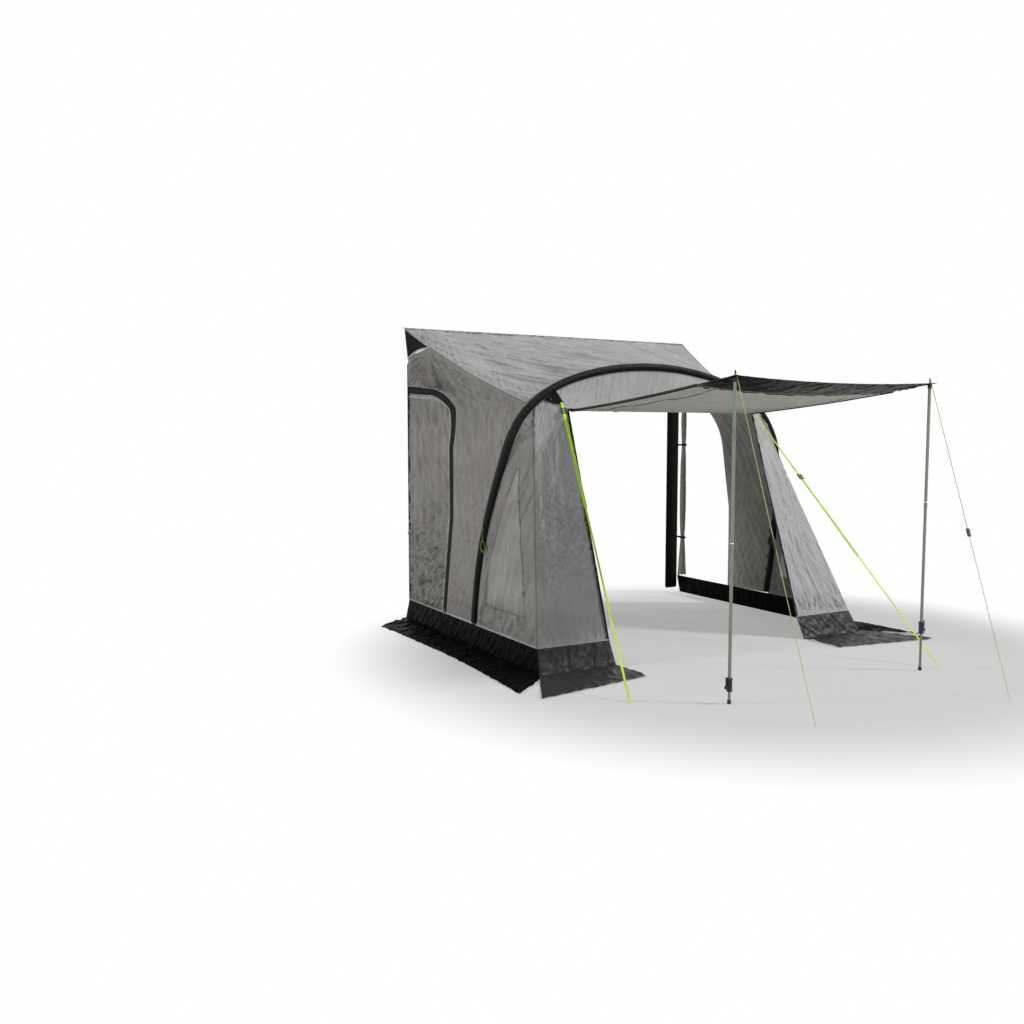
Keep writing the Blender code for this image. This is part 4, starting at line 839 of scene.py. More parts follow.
def nylon(name, colour, roughness=0.42):
    """Moulded nylon with a fine grain and scuffs."""
    def wire(w, coords):
        grain = w.group(moulded_grain(), {"Vector": coords["Object"]})
        return {"Base Color": w.mix(grain["Scuff"], rgba(colour), rgba(colour, 2.2)),
                "Roughness": w.fused(grain["Scuff"], 0.2, roughness),
                "Normal": w.bump(grain["Height"], 0.00012)}
    return material(name, wire)


def film(name, colour):
    """Tinted window film: glossy, see-through, with soft upright ripples."""
    def wire(w, coords):
        crease = w.group(fine_creases(), {"Vector": coords["Object"], "Stretch": (6.0, 6.0, 0.7),
                                          "Scale": 5.0})
        speck = w.band(w.noise(coords["Object"], 340.0, 3.0, 0.6), 0.35, 0.65)
        return {"Base Color": dyed(w, coords, colour, 1.4, 0.7),
                "Roughness": w.fused(crease["Height"], 0.15, 0.22),
                "Alpha": w.fused(speck, 0.20, 0.60),
                "Specular IOR Level": 0.3, "Normal": w.bump(crease["Height"], 0.003)}
    return material(name, wire)


# settings
def colour(label, parts, default):
    return FloatVectorProperty(name=label, description="Colour of the " + parts, subtype="COLOR",
                               size=3, default=default)


class AwningClothSettings(bpy.types.PropertyGroup):
    """Colours and fold heights of the cloth"""
    roof_colour: colour("Roof", "roof and header cloth", (0.400, 0.405, 0.402))
    side_colour: colour("Side walls", "side walls and doors", (0.300, 0.288, 0.272))
    wing_colour: colour("Wings", "sloping front panels", (0.430, 0.434, 0.428))
    canopy_colour: colour("Canopy", "canopy's cloth", (0.440, 0.425, 0.385))
    black_colour: colour("Black cloth", "sleeve, pads and tapes", (0.0045, 0.0045, 0.005))
    # painted shade: this copy of the coated sheet, used for the side mud walls and skirts of both sides and
    # the canopy flap, is far darker than the front sheet to stand for the shade on the left side
    coated_colour_with_painted_shade: colour("Coated sheet", "side mud walls and flap", (0.0030, 0.0028, 0.0030))
    front_coated_colour: colour("Front coated sheet", "front mud walls and skirts",
                                (0.026, 0.024, 0.025))
    film_colour: colour("Window film", "tinted film", (0.230, 0.222, 0.205))
    piping_colour: colour("Piping", "pale piping and trims", (0.52, 0.51, 0.56))
    fold_height: FloatProperty(name="Fold height", description="Height of the tension folds",
                               default=0.020, min=0.0, max=0.03, unit="LENGTH")


class AwningFittingSettings(bpy.types.PropertyGroup):
    """Colours of the poles, cords and plastic parts"""
    steel_colour: colour("Tubes", "pole tubes", (0.22, 0.26, 0.20))
    plastic_colour: colour("Plastic", "moulded fittings", (0.006, 0.006, 0.007))
    lime_colour: colour("Webbing", "storm straps", (0.42, 0.80, 0.045))
    rope_colour: colour("Guy ropes", "guy ropes", (0.62, 0.74, 0.25))


class AwningStageSettings(bpy.types.PropertyGroup):
    """Camera, lamps and floor"""
    eye: FloatVectorProperty(name="Camera place", description="Where the camera stands",
                             subtype="TRANSLATION", unit="LENGTH", default=(-4.4533, -5.68825, 1.5251))
    tilt: FloatProperty(name="Camera tilt", description="Angle of the view from straight down",
                        default=math.radians(85.3925), subtype="ANGLE")
    heading: FloatProperty(name="Camera heading", description="Turn of the view about the vertical",
                           default=math.radians(-28.7673), subtype="ANGLE")
    lens: FloatProperty(name="Lens", description="Focal length in millimetres on a 36 mm frame",
                        default=33.457)
    sky: FloatProperty(name="Sky", description="Strength of the even light", default=0.30)
    key: FloatProperty(name="Key", description="Strength of the key lamp, from the front right",
                       default=2.3)
    fill: FloatProperty(name="Fill", description="Strength of the fill lamp, from the rear left",
                        default=0.9)
    floor_size: FloatProperty(name="Floor", description="Side of the floor", default=60.0, unit="LENGTH")


def settings():
    return bpy.context.scene.awning_cloth


def fittings():
    return bpy.context.scene.awning_fittings


# finishes of the awning's own pieces
def roof_cloth():
    return woven("roof_cloth", settings().roof_colour, creases=(0.10, 1.0, 1.0), depth=0.006, turn=63.0)


def side_cloth():
    return woven("side_cloth", settings().side_colour, creases=(0.15, 1.0, 1.0), crease_scale=8.0,
                 dust=0.10, turn=-58.0)


def wing_cloth():
    return woven("wing_cloth", settings().wing_colour, creases=(0.30, 1.0, 1.0), crease_scale=8.0,
                 dust=0.06, depth=0.006, turn=58.0)


def canopy_cloth():
    return woven("canopy_cloth", settings().canopy_colour, creases=(0.4, 1.0, 1.0), depth=0.006,
                 turn=70.0)


def black_cloth():
    return woven("black_cloth", settings().black_colour, threads=700.0, roughness=0.62,
                 crease_scale=14.0, sheen=0.0, depth=0.003, specular=0.08)


def coated_cloth(tail):
    # the side pieces take the copy darkened as painted shade; the front pieces keep the lit colour
    if tail == "_side":
        return coated("coated_sheet", settings().coated_colour_with_painted_shade, 0.40, 0.0, 0.02)
    return coated("front_coated_sheet", settings().front_coated_colour, 0.42, 0.05, 0.16)


def black_tape():
    return sewn("black_tape", settings().black_colour, (0.020, 0.020, 0.022))


def grey_tape():
    wall = settings().side_colour
    return sewn("grey_tape", tuple(0.62 * c for c in wall), tuple(1.3 * c for c in wall))


def brown_tape():
    return sewn("brown_tape", (0.060, 0.046, 0.038), (0.11, 0.09, 0.075))


def pale_trim():
    pale = settings().piping_colour
    return sewn("pale_trim", pale, tuple(0.7 * c for c in pale), inset=0.3)


@node_group("Zip Teeth", {"Vector": None}, ("Teeth",))
def zip_teeth(w, given):
    """Two rows of moulded teeth down the middle of a strip mapped 0 to 1 across."""
    x, y, _ = w.split(given["Vector"])
    middle = w.band(w.math("ABSOLUTE", w.less(x, 0.5)), 0.14, 0.10)
    return {"Teeth": w.times(middle, w.band(w.math("SINE", w.times(y, 3140.0)), -0.3, 0.3))}


def zip_tape():
    """Black tape with its rows of teeth and stitches."""
    def wire(w, coords):
        teeth = w.group(zip_teeth(), {"Vector": coords["UV"]})["Teeth"]
        rows = w.group(stitch_rows(), {"Vector": coords["UV"], "Inset": 0.12})
        dark = w.mix(rows["Mark"], rgba(settings().black_colour), rgba((0.014, 0.014, 0.015)))
        return {"Base Color": w.mix(teeth, dark, rgba((0.012, 0.012, 0.013))),
                "Roughness": w.fused(teeth, -0.25, 0.72), "Specular IOR Level": 0.15,
                "Normal": w.bump(w.fused(teeth, 1.0, rows["Height"]), 0.0006)}
    return material("zip_tape", wire)


# pieces of cloth
LEAST_FILL = 0.32


def declare(panel, keep=None):
    """Work out what size the piece of cloth was cut to, as measured on its surface; the sizes are not kept.
    """
    across, down = panel.steps()
    width, length = across.sum(axis=1).max(), down.sum(axis=0).max()
    a = panel.grid[1:, 1:] - panel.grid[:-1, :-1]
    b = panel.grid[1:, :-1] - panel.grid[:-1, 1:]
    area = 0.5 * np.linalg.norm(np.cross(a, b), axis=2)
    area = float(area.sum() if keep is None else area[keep].sum())
    # a slanting or bowed piece is declared by its mean width, so that it fills enough of it
    width = min(width, area / (LEAST_FILL * length))


def name_of(side):
    return "left" if side < 0 else "right"


def seed_of(side, number):
    return number + (500 if side > 0 else 0)


def build_roof():
    """Roof from the rail to the beam."""
    rows, cols = cells(1.5, 0.011), cells(2.95, 0.011)
    key = 1.0 + np.linspace(SHOULDER, 180.0 - SHOULDER, cols) / 180.0
    rear = vec(beam_at(key)[0][:, 0] * RAIL_HALF / -arch(SHOULDER)[0], RAIL_END[1], RAIL_HEIGHT)
    v = shares(rows)[:, None]
    u = np.abs(np.linspace(-1.0, 1.0, cols))[None, :]
    grid = rear[None] + (beside(key, rear) - rear)[None] * v[..., None]
    grid[..., 2] -= 4.0 * lerp(ROOF_SAG, EAVE_SAG, u ** 4) * v * (1.0 - v)
    panel = Panel(grid, (0.0, 0.0, 1.0))
    x, y = panel.places()
    # folds fan from the left rear corner, cross the middle and straighten to the right
    left, right = near(x, 0.42), smooth((x - 1.55) / 0.6)
    middle = 1.0 - np.maximum(left, right)
    total = fan(x, y, -0.05, -0.05, 15.0, 1.25, 11, 1.8) * 1.35
    total = total + 0.80 * fan(x.max() - x, y, -0.05, -0.04, 12.0, 0.9, 12, 1.8)
    total = total + summed(
        streaks, x, y, (1.15 * middle, 64.0, 0.085, 1.4, 21, 2.2), (0.55 * middle, 60.0, 0.050, 1.0, 24, 2.0),
        (0.95 * right, 78.0, 0.070, 1.2, 22, 2.0), (0.75 * left, 108.0, 0.055, 0.50, 23, 2.0),
        (0.55 * near(y.max() - y, 0.11), 90.0, 0.030, 0.16, 42, 1.8),
        (0.45 * near(y, 0.08), 90.0, 0.040, 0.12, 43, 1.8))
    panel.shaped(total, hold(panel.u, panel.v, 0.03, 0.03, 0.02, 0.03))
    roof = cloth("roof", panel, roof_cloth(), "roof_fabric", ["roof_panel"])
    trims = [seam_line(panel, shares(160), u, name + "_eave_seam", 0.010, grey_tape(), thick=0.0012,
                       crown=0.0012) for name, u in (("left", 0.003), ("right", 0.997))]
    trims += [seam_line(panel, v, shares(340), name, width, grey_tape())
              for name, v, width in (("roof_front_seam", 0.985, 0.016), ("rail_hem", 0.012, 0.022))]
    declare(panel)


def header_grid(rows, cols):
    angle = np.linspace(SHOULDER, 180.0 - SHOULDER, cols)
    key = 1.0 + angle / 180.0
    low = vec(beam_at(key)[0][:, 0] * OPENING_HALF / -arch(OPENING_ANGLE)[0], -HINGE_DEPTH, HINGE_HEIGHT)
    for turn, flip in ((angle, np.asarray), (180.0 - angle, flip_x)):
        share = np.clip((turn - SHOULDER) / (OPENING_ANGLE - SHOULDER), 0.0, 1.0)[:, None]
        low = np.where(turn[:, None] < OPENING_ANGLE,
                       lerp(flip(CORNER_TOP), flip(OPENING_HEAD), share), low)
    return lerp(low[None], beside(key, low)[None], shares(rows)[:, None, None])


def build_header():
    """Front cloth between the canopy's hinge and the beam."""
    panel = Panel(header_grid(cells(0.36, 0.009), cells(2.4, 0.009)), (0.0, -1.0, 0.6))
    x, y = panel.places()
    total = summed(streaks, x, y, (0.25, 20.0, 0.10, 0.5, 61), (0.35 * near(y, 0.05), 90.0, 0.03, 0.10, 66))
    for a, seed in ((x, 62), (x.max() - x, 63)):
        total = total + 0.8 * near(a, 0.42) * streaks(a, y, 52.0, 0.045, 0.28, seed)
        total = total + 0.7 * fan(a, y, 0.34, -0.02, 8.0, 0.35, seed + 5)
    panel.shaped(total, hold(panel.u, panel.v, 0.01, 0.01, 0.06, 0.06), times=0.55)
    obj = cloth("header", panel, roof_cloth(), "front_fabric", ["header_panel"])
    ends = panel.u[0][np.abs(panel.grid[0, :, 0]) <= OPENING_HALF + 0.004]
    over = np.linspace(ends[0], ends[-1], 300)
    trims = [seam_line(panel, 0.04, over, "header_lower_seam", 0.024, black_tape(), crown=0.002),
             seam_line(panel, 0.975, shares(320), "header_upper_seam", 0.014, grey_tape())]
    declare(panel)


def build_sleeve():
    """Black sleeve of the beam with the inflated bladder inside."""
    key = np.concatenate([np.linspace(0.012, 1.0, 190), np.linspace(1.0, 2.0, 420)[1:-1],
                          np.linspace(2.0, 2.988, 190)])
    point = beam_at(key)[0]
    first, second = carried_frame(point, (1.0, 0.0, 0.0))
    turn = 2.0 * math.pi * np.arange(36) / 36
    length = reach_along(point)
    down, around = np.broadcast_arrays(length[:, None], (turn / (2.0 * math.pi))[None, :])
    bend = sum(height * near(key - at, reach) for height, at, reach in (
        (1.0, SHOULDER_KEY, 0.07), (1.0, 3.0 - SHOULDER_KEY, 0.07), (0.7, 1.0, 0.06), (0.7, 2.0, 0.06)))
    gather = noise(down / 0.022, 3.0 * np.cos(2 * math.pi * around) + 7.0, 71)
    loose = noise(down / 0.09, 2.0 * np.sin(2 * math.pi * around) + 3.0, 72)
    radius = SLEEVE_RADIUS * (1.0 + 0.045 * loose + (0.012 + 0.085 * bend[:, None]) * gather)
    radius = np.minimum(radius, SLEEVE_RADIUS * 1.09)
    grid = point[:, None] + radius[..., None] * (
        np.cos(turn)[None, :, None] * first[:, None] + np.sin(turn)[None, :, None] * second[:, None])
    obj = mesh_from_grid("sleeve", grid, pairs(around * 0.176, down), turned=True, wrap=0.176)
    mod = obj.modifiers.new("cloth", "SOLIDIFY")
    mod.thickness, mod.offset = 0.0015, -1.0
    apply_modifiers(obj)
    smooth_shade(obj, 60.0)
    dress(obj, woven("sleeve_cloth", (0.007, 0.007, 0.0075), threads=700.0, roughness=0.5,
                     crease_scale=24.0, sheen=0.0, depth=0.003, specular=0.12),
          "shell", "sleeve_fabric", ["arch_sleeve"])
    trims = [tape("sleeve_seam", grid[:, 9], unit(grid[:, 9] - point), 0.012, black_tape(), "sleeve_fabric")]
    inner = round_cord("bladder", point[::8], SLEEVE_RADIUS * 0.90, film("bladder_film", (0.10, 0.10, 0.10)),
                       "bladder_film", ["air_beam"], 20)


def zip_line(offset, t):
    """The door's zip as depth and height at stations 0 (rear) to 18 (foot)."""
    k = np.linspace(0.0, 18.0, 721)
    top, bend, straight = k <= 6.0, (k > 6.0) & (k <= 12.0), (k > 12.0) & (k <= 14.0)
    y, z = np.zeros_like(k), np.zeros_like(k)
    y[top] = -lerp(DOOR_REAR, DOOR_CORNER_START, k[top] / 6.0)
    z[top] = lerp(DOOR_TOP_REAR, DOOR_TOP_FRONT, k[top] / 6.0) + offset
    a = 0.5 * math.pi * (k[bend] - 6.0) / 6.0
    y[bend] = -DOOR_CORNER_START - (DOOR_CORNER_FRONT - DOOR_CORNER_START + offset) * np.sin(a)
    z[bend] = DOOR_CORNER_END + (DOOR_TOP_FRONT - DOOR_CORNER_END + offset) * np.cos(a)
    s = (k[straight] - 12.0) / 2.0
    y[straight] = -lerp(DOOR_CORNER_FRONT, DOOR_WIDEST, s) - offset
    z[straight] = lerp(DOOR_CORNER_END, DOOR_SLANT_START, s)
    rest = k > 14.0
    s = (k[rest] - 14.0) / 4.0
    y[rest] = -lerp(DOOR_WIDEST, DOOR_FOOT, s) - offset
    z[rest] = lerp(DOOR_SLANT_START, SEAM_HEIGHT, s)
    ease(y, 6)
    ease(z, 6)
    return np.interp(t, k, y), np.interp(t, k, z)


def zip_edge(offset, t):
    """The zip line on the wall, drawn straight where the slider runs."""
    point = side_point(*zip_line(offset, t))
    ends = side_point(*zip_line(offset, np.array([14.0, 18.0])))
    share = np.clip((t - 14.0) / 4.0, 0.0, 1.0)[:, None]
    return np.where((t > 14.0)[:, None], lerp(ends[0], ends[1], share), point)


def wall_rim(t):
    """The side panel's outer edge at the zip's stations, fanned round its corner."""
    p = np.interp(t, [0.0, 6.0, 12.0, 13.0, 14.0, 18.0], [0.0, 6.0, 14.0, 15.0, 16.0, 20.0])
    share = GUSSET_REACH / -EAVE_END[1]
    rear = side_point(-DOOR_REAR, RAIL_HEIGHT - GUSSET_DROP)
    eave = eave_point(lerp(share, 1.0, np.clip((p - 1.0) / 8.0, 0.0, 1.0) ** 1.5))
    point = rear + (eave_point(share) - rear) * np.clip(p, 0.0, 1.0)[:, None]
    point = np.where((p > 1.0)[:, None], eave, point)
    inward = vec(-WALL_HALF, -DOOR_WIDEST, SPRING_HEIGHT)
    angle = np.clip(SHOULDER - 5.0 * (p - 9.0), 0.0, SHOULDER)
    point = np.where((p > 9.0)[:, None], beside(1.0 + angle / 180.0, inward), point)
    low = np.clip((20.0 - p) / 5.0, 0.0, 1.0)
    centre = beam_at(low)[0]
    foot = beside(low, vec(-WALL_HALF, 0.0, 0.0) + centre * np.array([0.0, 0.0, 1.0]))
    return np.where((p > 15.0)[:, None], foot, point)


def sleeve_flange(side):
    """The black band behind the leg, by which the sleeve is sewn to the wall."""
    centre, way = beam_at(np.linspace(0.03, SHOULDER_KEY - 0.005, 260))
    square = vec(0.0, way[:, 2], -way[:, 1])
    behind = centre + unit(square) * 0.044
    line = side_point(behind[:, 1], behind[:, 2]) - vec(0.002, 0.0, 0.0)
    out = unit(np.cross(np.gradient(line, axis=0), square))
    out = out * -np.sign(out[:, :1])
    if side > 0:
        line, out = flip_x(line), flip_x(out)
    return tape(name_of(side) + "_sleeve_flange", line, out, 0.034, black_cloth(), "side_fabric", lift=0.002)


def build_side_wall(side):
    """Wall round the door, from the gusset and the eave down to the mud wall."""
    name = name_of(side)
    t = np.linspace(0.0, 18.0, cells(3.2, 0.010))
    reach = reach_along(wall_rim(t))
    t = 18.0 * (0.5 * t / 18.0 + 0.5 * np.interp(t / 18.0, reach / reach[-1], t / 18.0))
    v = shares(cells(0.5, 0.010))[:, None, None]
    grid = lerp(zip_edge(ZIP_TAPE / 2.0 + 2.0 * EDGE_GAP, t)[None], wall_rim(t)[None], v)
    grid = lerp(side_point(grid[..., 1], grid[..., 2]), grid, v ** 8)
    panel = Panel(grid, (-1.0, 0.0, 0.2), pairs(-grid[..., 1], grid[..., 2]))
    x, y = panel.places()
    seed = seed_of(side, 80)
    upper = smooth((y - 1.25) / 0.35)
    total = 1.9 * upper * fan(x, y, 0.30, 2.20, 11.0, 1.0, seed, 1.8)
    total = total + summed(
        streaks, x, y, (1.1 * upper, -52.0, 0.070, 1.1, seed + 1, 2.2),
        (1.0 - 0.4 * upper, -66.0, 0.075, 1.2, seed + 2, 2.2),
        (0.60 * smooth((1.6 - y) / 0.5), 62.0, 0.05, 0.35, seed + 3, 2.0),
        (0.8 * near(y - SEAM_HEIGHT, 0.13), 90.0, 0.035, 0.2, seed + 4))
    total = total + 0.6 * near(1.0 - panel.v, 0.16) * crumple(x, y, 0.06, seed + 5)
    panel = panel.shaped(total, hold(panel.u, panel.v, 0.02, 0.02, 0.06, 0.12), side)
    wall = cloth(name + "_side_wall", panel, side_cloth(), "side_fabric", [name + "_side_panel"])
    flange = sleeve_flange(side)
    # the arch's seam leaves the eave behind the beam and runs into the sleeve lower down
    wide = panel.flat[-1] - panel.flat[0]
    wide = np.interp(shares(200), panel.u[0], np.hypot(wide[:, 0], wide[:, 1]))
    bow = shares(200)
    behind = lerp(0.20, 0.015, np.clip((bow - 0.46) / 0.24, 0.0, 1.0)) / wide
    at = (bow > 0.46) & (bow < 0.70)
    seam = seam_line(panel, 1.0 - behind[at], bow[at], name + "_arch_seam", 0.008, grey_tape())
    declare(panel)


def door_plan(rows, cols):
    """The door's depth and height on a grid between its hem, sides and top."""
    inset = -ZIP_TAPE / 2.0 - EDGE_GAP
    rear_y = -DOOR_REAR - HINGE_CLEAR
    top, front = (pairs(*zip_line(inset, np.linspace(start, 9.0, 200))) for start in (0.0, 18.0))
    top[0, 0] = rear_y
    low = np.array([rear_y, SEAM_HEIGHT + EDGE_GAP])
    front[0, 1] = low[1]
    u, v = shares(cols), shares(rows)
    hem, side = lerp(low, front[0], u[:, None]), lerp(low, top[0], v[:, None])
    over, fore = along(top, u), along(front, v)
    u, v = u[None, :, None], v[:, None, None]
    plan = hem[None] * (1 - v) + over[None] * v + side[:, None] * (1 - u) + fore[:, None] * u
    return plan - (low * (1 - u) * (1 - v) + front[0] * u * (1 - v) + top[0] * (1 - u) * v + top[-1] * u * v)


def build_door():
    """Left door with its tapes and flap."""
    plan = door_plan(cells(1.75, 0.0085), cells(0.76, 0.0085))
    x, y = -plan[..., 0], plan[..., 1]
    panel = Panel(side_point(-x, y), (-1.0, 0.0, 0.0), pairs(x, y))
    lower = smooth((1.15 - y) / 0.55)
    wave = 0.7 * np.sin(2.6 * panel.v) + 0.8 * noise(x / 0.3, y / 0.5, 90)
    total = 0.50 * np.sin(2.0 * math.pi * 6.0 * panel.u + wave) * (0.55 + 0.45 * lower)
    total = total + 1.3 * fan(x, y, 0.03, 1.95, 9.0, 0.6, 95)
    total = total + summed(streaks, x, y, (1.10 - 0.495 * lower, -62.0, 0.070, 0.60, 91, 1.8),
                           (1.20 * smooth((1.35 - y) / 0.5), -38.0, 0.075, 0.32, 93, 1.8),
                           (0.90 * lower, 48.0, 0.06, 0.25, 94, 1.8))
    total = total + summed(crumple, x, y, (1.90 * lower, 0.13, 92, 1.7), (0.80 * lower, 0.055, 96, 1.6))
    panel.shaped(total, hold(panel.u, panel.v, 0.06, 0.05, 0.02, 0.04))
    door = cloth("left_door_cloth", panel, side_cloth(), "side_fabric", ["left_door"], "door")
    v = shares(220)
    trims = [seam_line(panel, v, 0.02, "left_door_hinge_tape", 0.020, black_tape(), body="door"),
             seam_line(panel, 0.006, shares(110), "left_door_hem", 0.022, grey_tape(), slot="side_fabric",
                       body="door")]
    fore, over = panel.at(v, 0.985), panel.at(0.985, shares(150)[::-1])
    line, normal = (np.concatenate([a[:-2], b[2:]])[:-4] for a, b in zip(fore, over))
    trims.append(tape("left_door_flap", line, unit(normal), 0.010, pale_trim(), "side_fabric", body="door",
                      crown=0.002, lift=0.0022))
    declare(panel)


def build_zip():
    """The left door's zip: one strip with a ridge of teeth, all round the door."""
    t = np.linspace(0.0, 18.0, 420)
    across = np.linspace(-1.0, 1.0, 13)
    grid = np.stack([zip_edge(w * ZIP_TAPE / 2.0, t) for w in across])
    share = across[:, None]
    panel = Panel(grid, (-1.0, 0.0, 0.0), pairs(0.5 + 0.5 * share, reach_along(grid[6])[None, :]))
    panel.fold(0.0016 * near(share, 0.22) + 0 * t[None, :])
    strip = cloth("left_zip_tape", panel, zip_tape(), "black_fabric", ["left_door_zip"], thick=0.0022)
    declare(panel)


def build_gusset(side):
    """Black triangle at the rear of the eave, with pale piping under it."""
    name = name_of(side)
    share = np.linspace(PAD_DEPTH, GUSSET_REACH - 0.01, cells(0.33, 0.006)) / -EAVE_END[1]
    top = eave_point(share) - vec(0.0, 0.0, 0.001)
    t = (share - share[0]) / (share[-1] - share[0])
    rear_low = side_point(np.float64(-PAD_DEPTH), np.float64(RAIL_HEIGHT - GUSSET_DROP - 0.02))
    low = lerp(rear_low, top[-1] - vec(0.0, 0.0, 0.006), t[:, None])
    low = low + vec(0.0, 0.0, 0.020 * np.sin(math.pi * t))
    panel = Panel(lerp(low[None], top[None], shares(cells(0.2, 0.006))[:, None, None]), (-1.0, 0.0, 0.2))
    panel.fold(0.0022 + 0.0035 * streaks(*panel.places(), 20.0, 0.04, 0.2, seed_of(side, 130))
               * hold(panel.u, panel.v, 0.05, 0.1, 0.1, 0.1))
    if side > 0:
        panel = panel.mirrored()
    obj = cloth(name + "_eave_gusset", panel, black_cloth(), "black_fabric", [name + "_corner_gusset"])
    trims = [seam_line(panel, 0.02, shares(80), name + "_gusset_piping", 0.013, pale_trim(),
                       slot="front_fabric", crown=0.0025, thick=0.0016),
             seam_line(panel, shares(40), 0.03, name + "_gusset_edge", 0.018, black_tape())]
    declare(panel)


def build_wall_pad(side):
    """Foam-filled strip that the wall's rear edge presses against the caravan."""
    name, sides = name_of(side), 40
    z = np.linspace(PAD_FOOT, PAD_TOP, cells(PAD_TOP - PAD_FOOT, 0.012))[:, None]
    a = 2.0 * math.pi * (np.arange(sides) + 0.5) / sides
    x, y = (np.sign(f) * np.abs(f) ** power for f, power in ((np.cos(a), 0.45), (np.sin(a), 0.6)))
    end = np.minimum(z - PAD_FOOT, PAD_TOP - z)
    close = np.sqrt(np.clip(end / 0.012, 0.0, 1.0)) * 0.2 + 0.8
    swell = 1.0 + 0.05 * noise(z / 0.11, 0 * z + 3.0, seed_of(side, 140))
    seam = 1.0 - 0.12 * near(x - 0.1, 0.08) * (y < -0.3)
    px = side * (WALL_HALF - PAD_WIDTH / 2.0) + x * close * PAD_WIDTH / 2.0
    py = np.clip(np.where(y < 0.0, y * swell, y) * seam, -1.0, 0.98)
    grid = vec(px, -PAD_DEPTH / 2.0 + py * PAD_DEPTH / 2.0 * close, z)
    obj = mesh_from_grid(name + "_wall_pad_cover", grid, pairs(a / (2 * math.pi) * 0.2, z), wrap=0.2)
    close_ends(obj, sides)
    smooth_shade(obj, 50.0)
    dress(obj, black_cloth(), "shell", "black_fabric", [name + "_wall_pad"])


def window_plan(rows):
    """Points beside the leg and on the corner seam, at shares from low to high."""
    key = np.concatenate([np.linspace(0.004, 1.0, 150), np.linspace(1.0, 1.0 + 25.0 / 180.0, 60)[1:]])
    centre = beam_at(key)[0]
    a = beside(key, corner_seam(centre[:, 2]))
    b = corner_seam(a[:, 2])
    # the panel narrows to a tip at the shoulder
    return [along(np.concatenate([edge, lerp(edge[-1], SEAM_HEAD, 0.8)[None]]), rows) for edge in (a, b)]


def build_window(side):
    """Wall in front of the beam's leg, with its tinted film."""
    name = name_of(side)
    low, mid, high = cells(0.16, 0.008), cells(1.0, 0.010), cells(0.32, 0.009)
    rows = np.concatenate([np.linspace(0.0, WINDOW_LOW, low)[:-1],
                           np.linspace(WINDOW_LOW, WINDOW_HIGH, mid)[:-1],
                           np.linspace(WINDOW_HIGH, 1.0, high)])
    a, b = window_plan(rows)
    t = np.clip((rows - WINDOW_LOW) / (WINDOW_HIGH - WINDOW_LOW), 0.0, 1.0)[:, None]
    left, right = lerp(0.14, 0.38, t ** 2.6), lerp(0.80, 0.48, t ** 1.7)
    first, middle, last = cells(0.13, 0.010), cells(0.55, 0.010), cells(0.2, 0.010)
    share = np.concatenate([
        shares(first)[None, :-1] * left, lerp(left, right, shares(middle)[None, :-1]),
        lerp(right, 1.0, shares(last)[None, :])], axis=1)
    panel = Panel(lerp(a[:, None], b[:, None], share[..., None]), (-1.0, -0.2, 0.1))
    seed = seed_of(side, 150)
    x, y = -panel.grid[..., 1], panel.grid[..., 2]
    low_part = near(y - SEAM_HEIGHT, 0.22)
    total = summed(streaks, x, y, (0.55, 84.0, 0.075, 0.6, seed),
                   (1.05 * low_part, 88.0, 0.045, 0.25, seed + 1),
                   (0.5 * smooth((y - 1.25) / 0.3), 70.0, 0.035, 0.3, seed + 3))
    total = total + 0.45 * low_part * crumple(x, y, 0.06, seed + 2)
    inside = smooth((share - left) / 0.06) * smooth((right - share) / 0.06)
    for end in (rows - WINDOW_LOW, WINDOW_HIGH - rows):
        inside = inside * smooth(end / 0.03)[:, None]
    keep = hold(share, panel.v, 0.05, 0.05, 0.03, 0.02)
    panel = panel.shaped(total * (1.0 - 0.45 * inside), keep, side, 1.5)
    r0, r1, c0, c1 = low - 1, low + mid - 2, first - 1, first + middle - 2
    solid = np.ones((panel.rows - 1, panel.cols - 1), dtype=bool)
    solid[r0:r1, c0:c1] = False
    wall = cloth(name + "_leg_wall", panel, side_cloth(), "side_fabric", [name + "_window_panel"], keep=solid)
    glass = Panel(panel.grid[r0:r1 + 1, c0:c1 + 1], panel.outward, panel.flat[r0:r1 + 1, c0:c1 + 1])
    pane = cloth(name + "_window_film", glass, film("window_film", settings().film_colour), "window_film",
                 [name + "_window"], thick=0.0008)
    corners = ((r0, c0, 120), (r1, c0, 40), (r1, c1, 120), (r0, c1, 60), (r0, c0, 0))
    rim_v, rim_u = (np.concatenate([np.linspace(start[k], stop[k], start[2])
                                    for start, stop in zip(corners, corners[1:])]) for k in (0, 1))
    trims = [seam_line(panel, rim_v / (panel.rows - 1), rim_u / (panel.cols - 1), name + "_window_edge",
                       0.010, grey_tape(), slot="side_fabric"),
             seam_line(panel, shares(180), 0.99, name + "_corner_tape", 0.014, grey_tape(),
                       slot="side_fabric")]
    declare(panel, solid)
    declare(glass)


